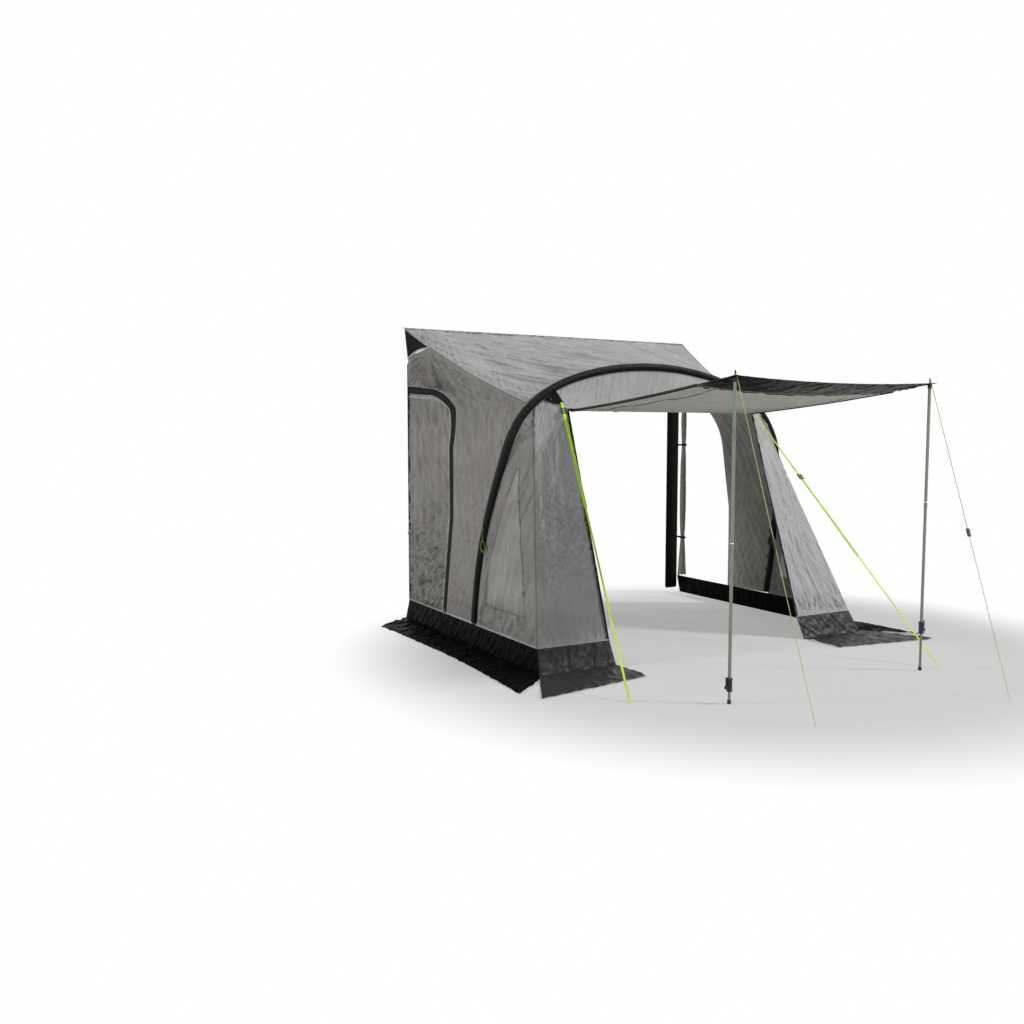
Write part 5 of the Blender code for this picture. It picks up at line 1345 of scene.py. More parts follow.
def build_wing(side):
    """Sloping front cloth beside the opening."""
    name = name_of(side)
    v, u = shares(cells(1.6, 0.009))[:, None, None], shares(cells(0.55, 0.009))[None, :, None]
    outer, inner = lerp(GROUND_CORNER, CORNER_TOP, v), lerp(OPENING_FOOT, OPENING_HEAD, v)
    panel = Panel(lerp(outer, inner, u), (-0.2, -1.0, 0.3))
    seed = seed_of(side, 170)
    x, y = panel.grid[..., 0] + WALL_HALF, panel.flat[..., 1]
    # short crossing creases in the middle, which the right wing hardly has
    short = (0.75 if side < 0 else 0.25) * near(y - 0.75, 0.45) * smooth(x / 0.2)
    total = summed(streaks, x, y, (0.60, 84.0, 0.08, 0.8, seed, 1.8),
                   (0.45 * smooth((y - 1.1) / 0.3), 64.0, 0.060, 0.35, seed + 1),
                   (short, 128.0, 0.040, 0.13, seed + 5, 1.8),
                   (0.8 * short, 48.0, 0.045, 0.12, seed + 6, 1.8),
                   (near(y, 0.18), 88.0, 0.045, 0.2, seed + 3))
    total = total + summed(fan, x, y, (0.55, 0.5, 1.62, 8.0, 0.7, seed + 2, 1.8),
                           (0.35, 0.02, -0.02, 7.0, 0.5, seed + 4))
    panel = panel.shaped(total, hold(panel.u, panel.v, 0.05, 0.04, 0.03, 0.03), side)
    obj = cloth(name + "_wing", panel, wing_cloth(), "front_fabric", [name + "_front_wing"])
    trims = [seam_line(panel, shares(200), 0.985, name + "_opening_zip", 0.018, black_tape(), crown=0.002),
             seam_line(panel, shares(200), 0.955, name + "_opening_flap", 0.012,
                       pale_trim() if side > 0 else grey_tape(), slot="front_fabric", crown=0.001)]
    declare(panel)


# the left mud walls' lower corner, just above the ground
MUD_CORNER = vec(-WALL_HALF - MUD_FLARE_SIDE, -FRONT_DEPTH - MUD_FLARE_FRONT, 0.0026)


def build_mud_wall(side):
    """Coated strips at the wall's foot with their pale piping."""
    name = name_of(side)
    rear = [vec(x, -DOOR_REAR, z) for x, z in ((-WALL_HALF, SEAM_HEIGHT), (MUD_CORNER[0], MUD_CORNER[2]))]
    corner = [GROUND_CORNER, MUD_CORNER]
    end = [OPENING_FOOT, vec(-OPENING_HALF, MUD_CORNER[1], MUD_CORNER[2])]
    for tail, start, stop, out, length, number in (
            ("_side", rear, corner, (-1.0, 0.0, 0.2), 2.14, 190),
            ("_front", corner, end, (0.0, -1.0, 0.4), 0.6, 195)):
        seed = seed_of(side, number)
        v = shares(cells(0.17, 0.007))[:, None, None]
        u = shares(cells(length, 0.008))[None, :, None]
        panel = Panel(lerp(lerp(start[1], stop[1], u), lerp(start[0], stop[0], u), v), out)
        x, y = panel.places()
        total = summed(crumple, x, y, (0.30, 0.13, seed), (0.12, 0.05, seed + 2))
        total = total + 0.40 * streaks(x, y, 66.0, 0.06, 0.25, seed + 1, 2.0)
        panel.shaped(total, hold(panel.u, panel.v, 0.012, 0.012, 0.10, 0.16))
        panel.grid[..., 2] = np.maximum(panel.grid[..., 2], 0.0022)
        if side > 0:
            panel = panel.mirrored()
        obj = cloth(name + tail + "_mud_flap", panel, coated_cloth(tail), "coated_sheet",
                    [name + tail + "_mud_wall"])
        piping = seam_line(panel, 0.975, shares(int(60 + 90 * length)), name + tail + "_piping", 0.008,
                           pale_trim(), slot="front_fabric", crown=0.0026, thick=0.0016, lift=0.0018)
        declare(panel)


def build_skirt(side, tail):
    """Coated flap that lies on the ground outside a mud wall."""
    name, along_side = name_of(side) + tail, tail == "_side"
    seed, length = (seed_of(side, 210), 2.2) if along_side else (seed_of(side, 215), 0.65)
    foot_x, foot_y = MUD_CORNER[:2]
    inner_x, inner_y = foot_x + SKIRT_UNDER, foot_y + SKIRT_UNDER
    join = vec(foot_x - SKIRT_JOIN, foot_y - SKIRT_JOIN_FRONT, 0.0)
    v, u = shares(cells(0.30, 0.007))[:, None, None], shares(cells(length, 0.008))
    if along_side:
        inner = vec(inner_x, lerp(-DOOR_REAR, inner_y, u), 0.0)
        outer = vec(foot_x - SKIRT_SIDE - SKIRT_FLARE * (2.0 * u - 1.0) ** 2,
                    lerp(-SKIRT_CUT, foot_y - SKIRT_TIP, u), 0.0)
        part, pull = SKIRT_JOIN / SKIRT_SIDE, np.clip((u - 0.875) / 0.125, 0.0, 1.0)
        meet = join + vec(0.0, EDGE_GAP, 0.0) - lerp(inner[-1], outer[-1], part)
    else:
        inner = vec(lerp(inner_x, -OPENING_HALF, u), inner_y, 0.0)
        outer = vec(lerp(foot_x - SKIRT_FRONT_REACH, -OPENING_HALF, u),
                    foot_y - lerp(SKIRT_FRONT_TIP, SKIRT_FRONT, u), 0.0)
        part, pull = SKIRT_JOIN_FRONT / SKIRT_FRONT, np.clip(1.0 - u / 0.25, 0.0, 1.0)
        meet = join - vec(0.0, EDGE_GAP, 0.0) - lerp(inner[0], outer[0], part)
    middle = lerp(inner, outer, part) + meet * pull[:, None]
    grid = np.where(v < part, lerp(inner, middle, v / part), lerp(middle, outer, (v - part) / (1.0 - part)))
    u, v = np.broadcast_arrays(u[None, :], v[..., 0])
    x, y = grid[..., 0] + 3.0, grid[..., 1] + 5.0
    lift = summed(crumple, x, y, (0.45, 0.15, seed), (0.15, 0.06, seed + 2))
    lift = lift + 0.6 * streaks(x, y, 8.0 if along_side else 84.0, 0.10, 0.35, seed + 1)
    keep = smooth(v / 0.12) * (1.0 - 0.5 * smooth((v - 0.8) / 0.2))
    grid[..., 2] = 0.0009 + np.maximum(0.0, settings().fold_height * (lift + 0.42) * 1.15) * keep
    hem_wave = 0.006 * noise(4.0 * u * length, 0 * u + 2.5, seed + 3) * v ** 3
    grid[..., 0 if along_side else 1] += np.maximum(hem_wave, 0.0)
    panel = Panel(grid, (0.0, 0.0, 1.0))
    if side > 0:
        panel = panel.mirrored()
    obj = cloth(name + "_ground_flap", panel, coated_cloth(tail), "coated_sheet", [name + "_skirt"])
    declare(panel)


def over_header(across, up, lift):
    """Points over the header's left end: shares across and up it, off its face."""
    columns = header_grid(2, 241)[:, :31]
    low, high = along(columns[0], across), along(columns[1], across)
    up = np.asarray(up)[..., None]
    sideways = lerp(columns[0, -1] - columns[0, 0], columns[1, -1] - columns[1, 0], up)
    return low + (high - low) * up + unit(np.cross(sideways, high - low)) * lift


def build_anchor(side):
    """Black triangle from the sleeve down to the storm strap's loop."""
    name = name_of(side)
    v, u = np.meshgrid(shares(40), shares(24), indexing="ij")
    half = 0.010 / float(np.linalg.norm(OPENING_HEAD - CORNER_TOP))
    left, right = lerp(0.965 - half, 0.45, v), lerp(0.965 + half, 1.0, v)
    panel = Panel(over_header(lerp(left, right, u), lerp(0.38, 0.96, v), 0.0040), (-0.3, -1.0, 0.6))
    panel.fold(0.005 * streaks(*panel.places(), 90.0, 0.022, 0.2, seed_of(side, 230))
               * hold(panel.u, panel.v, 0.1, 0.1, 0.1, 0.1) + 0.002)
    if side > 0:
        panel = panel.mirrored()
    obj = cloth(name + "_strap_gusset", panel, black_cloth(), "black_fabric", [name + "_anchor_gusset"])
    trims = [seam_line(panel, shares(60), at, "%s_strap_gusset_hem_%d" % (name, k), 0.009, black_tape())
             for k, at in ((1, 0.04), (2, 0.96))]
    declare(panel)


def canopy_seam(panel, v, u, name, width, material, **more):
    return seam_line(panel, v, u, name, width, material, body="canopy", **more)


def build_canopy():
    """Raised front panel and its coated outer strip."""
    seam = CANOPY_LENGTH - FLAP_LENGTH
    x = np.linspace(-CANOPY_HALF, CANOPY_HALF, cells(2 * CANOPY_HALF, 0.010))[None, :]
    s = np.linspace(2.0 * SEAM_GAP, seam - SEAM_GAP, cells(seam, 0.010))[:, None]
    panel = Panel(canopy_point(x, s), (0.0, 0.0, 1.0))
    x, s = np.broadcast_arrays(x, s)
    total = summed(streaks, x + 1.0, s, (0.40, 86.0, 0.12, 0.8, 251),
                   (0.45 * near(s, 0.16), 88.0, 0.045, 0.2, 252))
    for from_edge, seed in ((CANOPY_HALF + x, 253), (CANOPY_HALF - x, 254)):
        total = total + fan(from_edge, seam - s, 0.0, -0.28, 8.0, 0.8, seed)
        total = total + 0.5 * fan(from_edge, s, 0.0, -0.02, 7.0, 0.6, seed + 3)
    panel.shaped(total, hold(panel.u, panel.v, 0.03, 0.03, 0.02, 0.03))
    sheet = cloth("canopy", panel, canopy_cloth(), "canopy_fabric", ["canopy_sheet"], "canopy")
    x = np.linspace(-CANOPY_HALF, CANOPY_HALF, cells(2 * CANOPY_HALF, 0.009))[None, :]
    s = np.linspace(seam + SEAM_GAP, CANOPY_LENGTH, cells(FLAP_LENGTH, 0.008))[:, None]
    flap = Panel(canopy_point(x, s), (0.0, 0.0, 1.0))
    x, s = np.broadcast_arrays(x, s)
    total = summed(streaks, x + 1.0, s - seam, (0.5, 86.0, 0.09, 0.35, 261),
                   (0.8 * near(x + POLE_HALF, 0.22), 62.0, 0.035, 0.2, 263),
                   (0.8 * near(x - POLE_HALF, 0.22), 118.0, 0.035, 0.2, 264))
    total = total + 0.25 * crumple(x + 1.0, s - seam, 0.10, 262)
    flap.shaped(total, hold(flap.u, flap.v, 0.02, 0.02, 0.08, 0.08))
    # the flap takes the coated sheet's copy darkened as painted shade
    outer = cloth("canopy_front", flap, coated("canopy_coating", settings().coated_colour_with_painted_shade, 0.40, 0.0, 0.06),
                  "coated_sheet", ["canopy_flap"], "canopy")
    t = shares(240)
    trims, outer_trims = [], []
    for side, edge, inner in ((-1, 0.004, 0.11), (1, 0.996, 0.89)):
        name = name_of(side)
        trims += [canopy_seam(panel, t, edge, name + "_canopy_hem", 0.022, black_tape(), crown=0.003),
                  canopy_seam(panel, t, inner, name + "_canopy_seam", 0.012, brown_tape(), lift=-0.0014)]
        outer_trims.append(canopy_seam(flap, t[::3], edge, name + "_flap_hem", 0.020, black_tape(),
                                       crown=0.002))
        trims.append(tape(name + "_canopy_roll", panel.at(t, edge)[0], vec(float(side), 0.0, 0.0), 0.017,
                          black_cloth(), body="canopy", thick=0.004, lift=0.002))
    trims += [canopy_seam(panel, 0.012, t, "canopy_hinge_zip", 0.024, black_tape(), crown=0.002),
              canopy_seam(panel, 0.985, t, "canopy_brown_band", 0.030, brown_tape(), lift=-0.0014)]
    outer_trims.append(canopy_seam(flap, 0.97, t, "flap_front_hem", 0.020, black_tape(), crown=0.002))
    declare(panel)
    declare(flap)


# how far the rolled door swells between its ties, at shares of its height
ROLL_SWELL = ((0.0, 1.35), (0.03, 1.28), (0.08, 1.12), (0.14, 0.92), (0.199, 0.70), (0.229, 0.70),
              (0.27, 0.86), (0.38, 1.0), (0.50, 1.0), (0.62, 0.90), (0.729, 0.70), (0.759, 0.70),
              (0.80, 0.82), (0.87, 0.88), (0.94, 0.80), (1.0, 0.70))
ROLL_TIED, ROLL_TURNS, ROLL_TIES = 0.70, 4.6, (("lower", 0.214), ("upper", 0.744))


def build_door_roll():
    """Right door rolled to its rear edge and tied twice."""
    low, high = SEAM_HEIGHT + 0.6 * ROLL_RADIUS, DOOR_TOP_REAR - ROLL_RADIUS
    h = shares(cells(high - low, 0.014))[:, None]
    dense = shares(400)
    swell = np.interp(dense, *zip(*ROLL_SWELL))
    ease(swell, 30)
    swell = np.interp(h, dense, swell)
    cols = int(ROLL_TURNS * (36))
    h, a = np.broadcast_arrays(h, np.linspace(0.35, 2.0 * math.pi * ROLL_TURNS, cols)[None, :])
    radius = lerp(0.006, ROLL_RADIUS, a / a.max())
    tied = lerp(0.35, 1.0, smooth((swell - ROLL_TIED) / 0.12))
    pleat = 1.0 + 0.15 * tied * np.cos(5.0 * a + 1.1 * h) * (a / a.max())
    loose = 1.0 + 0.05 * noise(h / 0.06, a / 1.3, 271)
    r = radius * swell * pleat * loose
    x0, y0 = WALL_HALF - ROLL_INSET, -ROLL_DEPTH
    z = lerp(low, high, h) + 0.012 * noise(a / 1.1, 0 * a + 4.0, 272)
    panel = Panel(vec(x0 + 0.8 * r * np.cos(a), y0 + r * np.sin(a), z), (1.0, 0.0, 0.0))
    panel.turned = False
    rolled = woven("rolled_cloth", (0.27, 0.245, 0.21), crease_scale=9.0, dust=0.1)
    obj = cloth("right_rolled_door", panel, rolled, "rolled_fabric", ["right_door_roll"])
    declare(panel)
    t, s = np.linspace(0.0, 2.0 * math.pi, 90), shares(24)
    ring = ROLL_RADIUS * ROLL_TIED * (1.0 + 0.15 * 0.35) + 0.0025
    for name, share in ROLL_TIES:
        z0 = lerp(low, high, share)
        line = vec(x0 + (0.84 * ring) * np.cos(t), y0 + ring * np.sin(t), z0 + 0.002 * np.sin(2 * t))
        strap = tape(name + "_roll_tie", line, unit(vec(np.cos(t), np.sin(t), 0.0)), 0.018, black_tape(),
                     nodes=[name + "_door_tie"], thick=0.002)
        tail = vec(x0, lerp(y0 + ring, -PAD_DEPTH - 0.0006, s), z0)
        end = tape(name + "_roll_tie_end", tail, vec(1.0, 0.0, 0.0), 0.016, black_tape(), thick=0.002,
                   lift=0.0)


# straps, ropes and the spare cord
def build_straps(side):
    """Storm strap: each length has a narrow run, and some a wider one over it."""
    name = name_of(side)
    start, end = (np.array(p) for p in STRAPS[side])
    d = unit(end - start)
    across = unit(np.cross(d, vec(0.0, 0.0, 1.0)))
    face = unit(np.cross(d, across))
    length = float(np.linalg.norm(end - start))
    above = length * (LEFT_BUCKLE_SHARE if side < 0 else RIGHT_BUCKLE_SHARE) - BUCKLE_GAP
    below = above + 2.0 * BUCKLE_GAP
    lime = sewn("lime_webbing", fittings().lime_colour, (0.62, 0.85, 0.22), pitch=0.004)
    bright = sewn("bright_webbing", (0.58, 0.88, 0.05), (0.75, 0.92, 0.30), pitch=0.004)
    # the narrow run's ends and width, then the wider run's, in shares where they lie between
    if side < 0:
        runs = (("_strap_upper", (0.0, above, 0.020), None),
                ("_strap_lower", (below, length, 0.013), (below, 0.40 * length, 0.0235)))
    else:
        runs = (("_strap_upper", (0.0, above, 0.012), (0.10 * length, above, 0.018)),
                ("_strap_lower", (below, length, 0.013), (below, 0.62 * length, 0.021)))
    stop = length - (0.0125 * abs(across[2]) + 0.0016) / -d[2]
    for tail, narrow, wide in runs:
        pieces = []
        for label, run, finish, lift in ((tail, narrow, bright, 0.0), (tail + "_wide", wide, lime, 0.0016)):
            if run is None:
                continue
            s = np.linspace(run[0], min(run[1], stop), 160)
            sway = np.sin(math.pi * s / length)
            line = start + d * s[:, None] + face * (0.0012 * np.sin(9.0 * s / length + side) * sway)[:, None]
            turn = 0.10 * np.sin(5.0 * s / length + side) * sway
            piece = tape(name + label + "_webbing", line, unit(face + across * turn[:, None]), run[2], finish,
                         "lime_webbing", [] if pieces else [name + tail], thick=0.0015, lift=lift)
            pieces.append((piece, run[2], float(reach_along(line)[-1])))


def build_rope(side):
    """Guy rope from the pole's spike to the ground."""
    name = name_of(side)
    top, low = (np.array(p) - vec(0.0, WALL_Y, 0.0) for p in ROPES[side])
    path = lerp(top, low, shares(40)[:, None])
    sheath = braided("guy_cord", fittings().rope_colour, (0.20, 0.30, 0.05))
    rope = round_cord(name + "_rope", path, 0.0020, sheath, "guy_cord", [name + "_guy_rope"], 12)
    row = row_frame(path)
    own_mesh(rope)


def hank_path():
    """A run down from the sleeve, oval turns side by side and a tail."""
    points = [CORD_KNOT, CORD_KNOT - vec(CORD_THICK, 0.0, 0.0)]
    for k in range(1, 6):
        a = math.radians(90.0 * k / 5)
        points.append(points[1] - vec(HANK_BEND * math.sin(a), 0.0, HANK_BEND * (1.0 - math.cos(a))))
    way = unit(vec(-0.48, -0.88, 0.0))
    across = np.cross(vec(0.0, 0.0, 1.0), way)
    line = points[-1]

    def place(sideways, height, depth):
        return vec(line[0], line[1], height) + across * sideways + way * depth

    count = int((line[2] - HANK_END) / (2.0 * CORD_THICK))
    for k in range(1, count):
        z = lerp(line[2], HANK_MIDDLE, k / count)
        points.append(place(-HANK_HALF * float(smooth((HANK_MIDDLE + HANK_LEAD - z) / HANK_LEAD)), z, 0.0))
    for k in range(HANK_LOOPS * 24 + 1):
        turn = k / 24
        s, c = math.sin(2.0 * math.pi * turn), math.cos(2.0 * math.pi * turn)
        points.append(place(-HANK_HALF * math.copysign(abs(c) ** 0.6, c),
                            HANK_MIDDLE - HANK_TALL * math.copysign(abs(s) ** 0.75, s), HANK_STEP * turn))
    count = int((HANK_MIDDLE - HANK_END) / (2.0 * CORD_THICK))
    for k in range(1, count + 1):
        z = lerp(HANK_MIDDLE, HANK_END, k / count)
        share = float(smooth((HANK_MIDDLE - z) / HANK_LEAD))
        points.append(place(lerp(-HANK_HALF, HANK_TAIL_SIDE, share), z, HANK_STEP * HANK_LOOPS))
    return np.array(points)


def build_hank():
    """Spare cord hung in a hank at the left leg."""
    points = hank_path()
    obj = round_cord("spare_cord", points, CORD_THICK / 2.0,
                     braided("spare_cord", (0.30, 0.66, 0.05), (0.10, 0.24, 0.02), pitch=240.0),
                     "spare_cord", ["spare_cord_hank"], 8)
    row = row_frame(points)


def build_bead():
    """Cord in the roof's rear hem that slides into the rail."""
    path = vec(np.linspace(-RAIL_HALF, RAIL_HALF, 60), -BEAD_RADIUS, RAIL_HEIGHT)
    sheath = braided("bead_cover", (0.60, 0.60, 0.62), (0.4, 0.4, 0.42))
    obj = round_cord("hem_bead", path, BEAD_RADIUS, sheath, "bead_plastic", ["rail_bead"], 16)
    row = row_frame(path)


# hard fittings
def round_edges(obj, width, segments=2):
    mod = obj.modifiers.new("edges", "BEVEL")
    mod.width, mod.segments, mod.limit_method, mod.angle_limit = width, segments, "ANGLE", math.radians(32.0)
    apply_modifiers(obj)
    smooth_shade(obj, 38.0)


def named(name):
    obj = bpy.context.object
    obj.name = obj.data.name = name
    return obj


def turned(name, centre, profile, material, body, nodes=(), slot="black_plastic"):
    """A round piece drawn up from a disc: (radius, height) steps from its lowest ring."""
    x, y, z = centre
    radius, at = profile[0]
    deselect()
    bpy.ops.mesh.primitive_circle_add(vertices=40, radius=radius, fill_type="NGON", location=(x, y, z + at))
    obj = named(name)
    bpy.ops.object.mode_set(mode="EDIT")
    bpy.ops.mesh.select_all(action="SELECT")
    for wide, high in profile[1:]:
        bpy.ops.mesh.extrude_region_move(TRANSFORM_OT_translate={"value": (0.0, 0.0, high - at)})
        bpy.ops.transform.resize(value=(wide / radius, wide / radius, 1.0), center_override=(x, y, z + high))
        radius, at = wide, high
    bpy.ops.mesh.select_all(action="SELECT")
    bpy.ops.mesh.normals_make_consistent(inside=False)
    bpy.ops.object.mode_set(mode="OBJECT")
    bpy.ops.object.transform_apply(location=True, rotation=True, scale=True)
    round_edges(obj, 0.0005)
    return dress(obj, material, body, slot, nodes)


def block(name, low, high, material, body, nodes=(), edge=0.0014, dish=0.0, facing=0):
    """A moulded block between two corners, with a dished face towards `facing` along x."""
    deselect()
    low, high = np.array(low), np.array(high)
    bpy.ops.mesh.primitive_cube_add(size=1.0, location=(low + high) / 2.0, scale=high - low)
    obj = named(name)
    bpy.ops.object.transform_apply(location=True, rotation=True, scale=True)
    if dish:
        bpy.ops.object.mode_set(mode="EDIT")
        bpy.ops.mesh.select_mode(type="FACE")
        bpy.ops.mesh.select_all(action="DESELECT")
        bpy.ops.object.mode_set(mode="OBJECT")
        for face in obj.data.polygons:
            face.select = face.normal.x * facing > 0.9
        bpy.ops.object.mode_set(mode="EDIT")
        bpy.ops.mesh.inset(thickness=0.28 * float(min(high[1:] - low[1:])))
        bpy.ops.transform.translate(value=(-dish * facing, 0.0, 0.0))
        bpy.ops.object.mode_set(mode="OBJECT")
    round_edges(obj, edge, 3)
    return dress(obj, material, body, "black_plastic", nodes)


# (radius, height) steps of the fittings, the last ones measured down from the top
TIP_FOOT = ((0.0088, 0.0), (0.0112, 0.0016), (0.0112, 0.006), (0.0100, 0.0075), (0.0134, 0.0105))
TIP_SHOULDER = ((0.0134, -0.004), (0.0118, 0.0), (0.0062, 0.0030), (0.0042, 0.0050))
TIP_SPIKE = ((0.0040, -0.012), (0.0052, -0.0105), (0.0052, -0.0070), (0.0034, -0.0030), (0.0012, 0.0))
CLAMP_FOOT = ((0.0155, 0.0), (0.0176, 0.0018), (0.0176, 0.010), (0.0158, 0.0125))
CLAMP_RIB = ((0.0158, 0.016), (0.0170, 0.0175), (0.0170, 0.0210), (0.0158, 0.0225))
CLAMP_HEAD = ((0.0158, -0.014), (0.0178, -0.0115), (0.0178, -0.0022), (0.0150, 0.0))
FOOT_RIBS = ((0.0096, 0.0), (0.0119, 0.0018), (0.0119, 0.0060), (0.0108, 0.0074), (0.0108, 0.0088),
             (0.0117, 0.0102), (0.0117, 0.0140), (0.0106, 0.0154))
FOOT_HEAD = ((0.0106, -0.0040), (0.0114, -0.0026), (0.0100, 0.0))
RING = ((0.0097, 0.0), (0.0104, 0.0012), (0.0104, 0.0075), (0.0097, 0.0088))


def raised(steps, height):
    return [(radius, height + step) for radius, step in steps]


def build_pole_fittings(side):
    """Tip, clamp, lever and foot of a pole, and the swaged ring where its tubes meet."""
    name = name_of(side)
    body = name + "_pole"
    plastic = nylon("moulded_nylon", fittings().plastic_colour)
    x, y = side * POLE_HALF, WALL_Y - POLE_DEPTH
    low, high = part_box(name + "_pole_tip")
    height = high[2] - low[2]
    top = height - SPIKE_RISE
    steps = [step for step in TIP_FOOT if step[1] < top - 0.006]
    steps += raised(TIP_SHOULDER, top) + raised(TIP_SPIKE, height)
    turned(name + "_tip_fitting", (x, y, low[2]), steps, plastic, body, [name + "_pole_tip"])
    low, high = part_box(name + "_pole_clamp")
    ribs = list(CLAMP_FOOT)
    for k in range(3):
        ribs += raised(CLAMP_RIB, 0.0075 * k)
    ribs += raised(CLAMP_HEAD, high[2] - low[2])
    turned(name + "_clamp_body", (x, y, low[2]), ribs, plastic, body, [name + "_pole_clamp"])
    reach = x + side * 0.0160, (high[0] if side > 0 else low[0])
    for k, ear_y in ((1, y - 0.0070), (2, y + 0.0070)):
        block("%s_clamp_ear_%d" % (name, k), (min(reach), ear_y - 0.0020, low[2] + 0.0140),
              (max(reach), ear_y + 0.0020, low[2] + 0.0330), plastic, body, edge=0.0008)
    block(name + "_lever_bar", *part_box(name + "_clamp_lever"), plastic, name + "_lever",
          [name + "_clamp_lever"], edge=0.0016, dish=0.0012, facing=side)
    low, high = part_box(name + "_pole_foot")
    steps = list(FOOT_RIBS) + raised(FOOT_HEAD, high[2] - low[2])
    turned(name + "_rubber_foot", (x, y, low[2]), steps, plastic, name + "_lower_pole", [name + "_pole_foot"])
    joint = LEFT_JOINT if side < 0 else RIGHT_JOINT
    turned(name + "_pole_ring", (x, y, joint - 0.004), RING, plated_steel("swaged_ring", (0.75, 0.76, 0.72)),
           body, slot="tube_steel")


def finish_hard_nodes():
    """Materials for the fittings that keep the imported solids."""
    steel = plated_steel("plated_tube", fittings().steel_colour)
    plastic = nylon("moulded_nylon", fittings().plastic_colour)
    grey = nylon("cast_slider", (0.20, 0.20, 0.205), 0.35)
    finishes = [(part, steel) for part in ("_pole_upper", "_pole_middle", "_pole_lower")]
    finishes += [("zip_slider", grey)]
    finishes += [(part, plastic) for part in ("tip", "clamp", "lever", "foot", "buckle", "runner")]
    for node in frame["nodes"]:
        kept = bpy.data.objects.get(node)
        found = [mat for part, mat in finishes if part in node]
        if kept is not None and kept.type == "MESH" and found:
            kept.data.materials.clear()
            kept.data.materials.append(found[0])


def add_object(name, data):
    obj = bpy.data.objects.new(name, data)
    bpy.context.collection.objects.link(obj)
    return obj


def build_stage():
    """Camera, floor, lamps and sky."""
    s = bpy.context.scene.awning_stage
    camera = bpy.data.cameras.new("camera")
    camera.lens, camera.sensor_width, camera.clip_end = s.lens, 36.0, 200.0
    eye = add_object("camera", camera)
    eye.location, eye.rotation_euler = s.eye, (s.tilt, 0.0, s.heading)
    bpy.context.scene.camera = eye
    deselect()
    bpy.ops.mesh.primitive_plane_add(size=s.floor_size, location=(0.0, 0.0, -0.0006))
    floor = bpy.context.object
    floor.name = "studio_floor"

    def wire(w, coords):
        # the floor glows white for the camera beyond a soft grey patch round the awning, a painted shadow of
        # the awning on the floor
        from_painted_shadow_centre = w.vmath("SUBTRACT", coords["Object"], (0.25, -0.45, 0.0))
        far = w.node("ShaderNodeVectorMath", {0: from_painted_shadow_centre}, operation="LENGTH").outputs["Value"]
        # painted shadow: the glow is grey near the awning and turns white further out
        glow_and_painted_shadow = w.node("ShaderNodeEmission", {"Strength": w.band(far, 1.8, 3.0, 0.55, 1.0)})
        share = w.times(w.seen_as_background(), w.band(far, 1.8, 3.0, 0.62, 1.0))
        nodes = w.tree.nodes
        both = w.node("ShaderNodeMixShader", {
            0: share, 1: nodes["Principled BSDF"].outputs[0], 2: glow_and_painted_shadow.outputs[0]})
        w.put(nodes["Material Output"].inputs[0], both.outputs[0])
        return {"Base Color": dyed(w, coords, (1.0, 1.0, 1.0), 0.84, 0.82), "Roughness": 0.9,
                "Specular IOR Level": 0.0}

    floor.data.materials.append(material("studio_floor", wire))
    for name, energy, spread, way in (("key", s.key, 9.0, (0.62, -0.42, 0.66)),
                                      ("fill", s.fill, 8.0, (-0.80, 0.30, 0.52))):
        sun = bpy.data.lights.new(name, "SUN")
        sun.energy, sun.angle = energy, math.radians(spread)
        add_object(name, sun).rotation_euler = Vector(way).to_track_quat("Z", "Y").to_euler()
    world = bpy.data.worlds.new("studio")
    bpy.context.scene.world = world
    world.use_nodes = True
    w = Wiring(world.node_tree)
    w.fill(world.node_tree.nodes["Background"].inputs, {
        "Color": (1.0, 1.0, 1.0, 1.0), "Strength": w.fused(w.seen_as_background(), 1.0 - s.sky, s.sky)})
    bpy.context.scene.view_settings.view_transform = "Standard"


# operators
class AWNING_OT_roof(bpy.types.Operator):
    """Roof cloth from the rail to the beam, with its seams"""
    bl_idname, bl_label = "awning.roof", "Roof"

    def execute(self, context):
        build_roof()
        build_bead()
        return {"FINISHED"}


class AWNING_OT_header(bpy.types.Operator):
    """Header cloth over the opening and the straps' black gussets"""
    bl_idname, bl_label = "awning.header", "Header"

    def execute(self, context):
        build_header()
        for side in (-1, 1):
            build_anchor(side)
        return {"FINISHED"}


class AWNING_OT_sleeve(bpy.types.Operator):
    """Beam sleeve and the bladder inside it"""
    bl_idname, bl_label = "awning.sleeve", "Beam sleeve"

    def execute(self, context):
        build_sleeve()
        return {"FINISHED"}


class AWNING_OT_side_walls(bpy.types.Operator):
    """Side walls, rear pads, eave gussets and leg walls with windows"""
    bl_idname, bl_label = "awning.side_walls", "Side walls"

    def execute(self, context):
        for side in (-1, 1):
            build_side_wall(side)
            build_gusset(side)
            build_wall_pad(side)
            build_window(side)
        return {"FINISHED"}


class AWNING_OT_doors(bpy.types.Operator):
    """Left door with its zip, and the rolled right door"""
    bl_idname, bl_label = "awning.doors", "Doors"

    def execute(self, context):
        build_door()
        build_zip()
        build_door_roll()
        return {"FINISHED"}


class AWNING_OT_wings(bpy.types.Operator):
    """Sloping front panels beside the opening"""
    bl_idname, bl_label = "awning.wings", "Front wings"

    def execute(self, context):
        for side in (-1, 1):
            build_wing(side)
        return {"FINISHED"}


class AWNING_OT_mud_walls(bpy.types.Operator):
    """Coated mud walls and ground skirts"""
    bl_idname, bl_label = "awning.mud_walls", "Mud walls"

    def execute(self, context):
        for side in (-1, 1):
            build_mud_wall(side)
            for tail in ("_side", "_front"):
                build_skirt(side, tail)
        return {"FINISHED"}


class AWNING_OT_canopy(bpy.types.Operator):
    """Canopy cloth, its coated strip and hems"""
    bl_idname, bl_label = "awning.canopy", "Canopy"

    def execute(self, context):
        build_canopy()
        return {"FINISHED"}


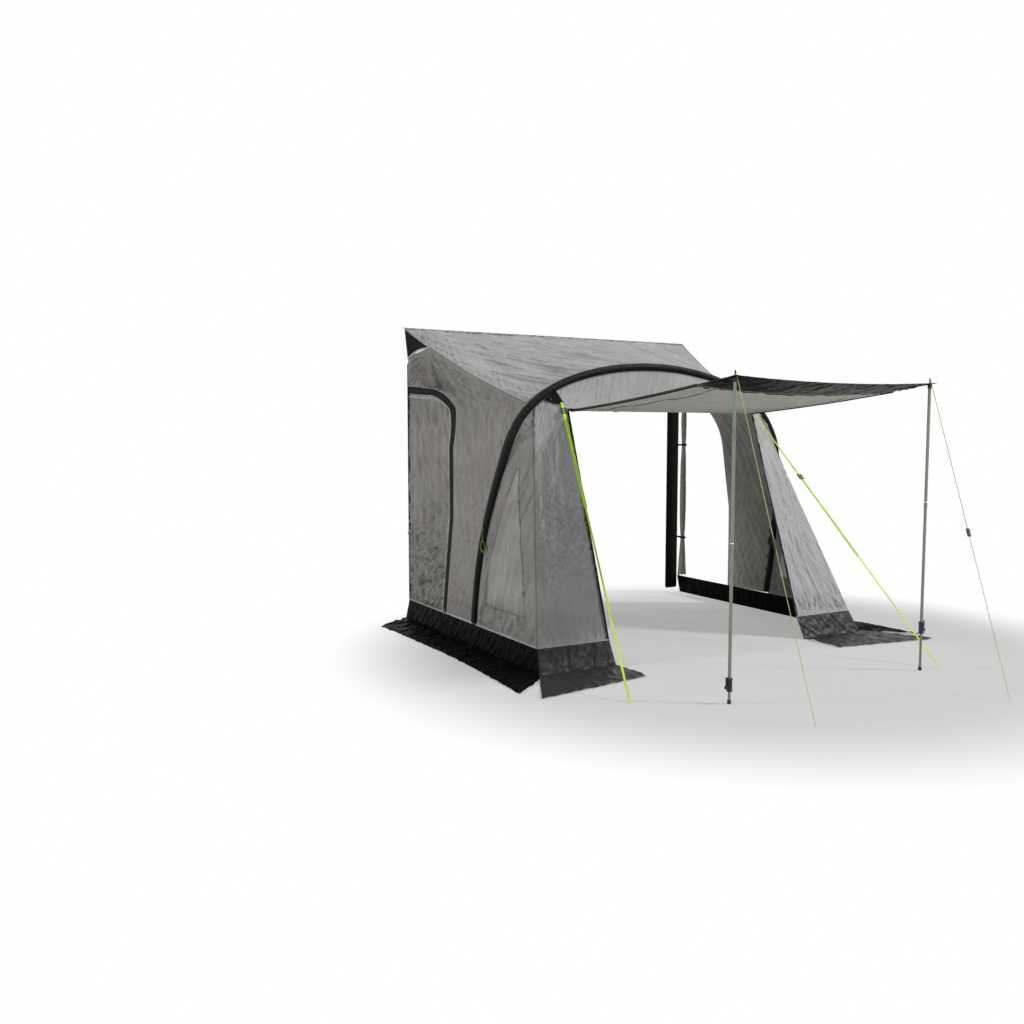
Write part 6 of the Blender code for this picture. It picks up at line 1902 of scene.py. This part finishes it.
class AWNING_OT_straps(bpy.types.Operator):
    """Storm straps, guy ropes and the spare cord"""
    bl_idname, bl_label = "awning.straps", "Straps and ropes"

    def execute(self, context):
        for side in (-1, 1):
            build_straps(side)
            build_rope(side)
        build_hank()
        return {"FINISHED"}


class AWNING_OT_fittings(bpy.types.Operator):
    """Tips, clamps, levers and feet of the poles, and the finish of the other hard parts"""
    bl_idname, bl_label = "awning.fittings", "Fittings"

    def execute(self, context):
        for side in (-1, 1):
            build_pole_fittings(side)
        finish_hard_nodes()
        return {"FINISHED"}


class AWNING_OT_stage(bpy.types.Operator):
    """Camera, lamps, floor and sky"""
    bl_idname, bl_label = "awning.stage", "Stage"

    def execute(self, context):
        build_stage()
        return {"FINISHED"}


OPERATORS = (AWNING_OT_stage, AWNING_OT_straps, AWNING_OT_roof, AWNING_OT_header, AWNING_OT_sleeve,
             AWNING_OT_side_walls, AWNING_OT_doors, AWNING_OT_wings, AWNING_OT_mud_walls, AWNING_OT_canopy,
             AWNING_OT_fittings)
GROUPS = ((AwningClothSettings, "awning_cloth"), (AwningFittingSettings, "awning_fittings"),
          (AwningStageSettings, "awning_stage"))


class AWNING_PT_pieces(bpy.types.Panel):
    """Lists the awning's pieces in the sidebar"""
    bl_idname, bl_label = "AWNING_PT_pieces", "Awning"
    bl_space_type, bl_region_type, bl_category = "VIEW_3D", "UI", "Awning"

    def draw(self, context):
        for made in OPERATORS:
            self.layout.operator(made.bl_idname)
        for _, slot in GROUPS:
            box = self.layout.box()
            values = getattr(context.scene, slot)
            for key in values.__annotations__:
                box.prop(values, key)


def register():
    for made, slot in GROUPS:
        bpy.utils.register_class(made)
        setattr(bpy.types.Scene, slot, PointerProperty(type=made))
    for made in OPERATORS + (AWNING_PT_pieces,):
        bpy.utils.register_class(made)


def unregister():
    for made in (AWNING_PT_pieces,) + OPERATORS[::-1]:
        bpy.utils.unregister_class(made)
    for made, slot in GROUPS[::-1]:
        delattr(bpy.types.Scene, slot)
        bpy.utils.unregister_class(made)


def main():
    register()
    for made in OPERATORS:
        name = made.bl_idname.split(".")[1]
        if getattr(bpy.ops.awning, name)() != {"FINISHED"}:
            raise RuntimeError("the operator %s didn't finish" % name)


if __name__ == "__main__":
    main()
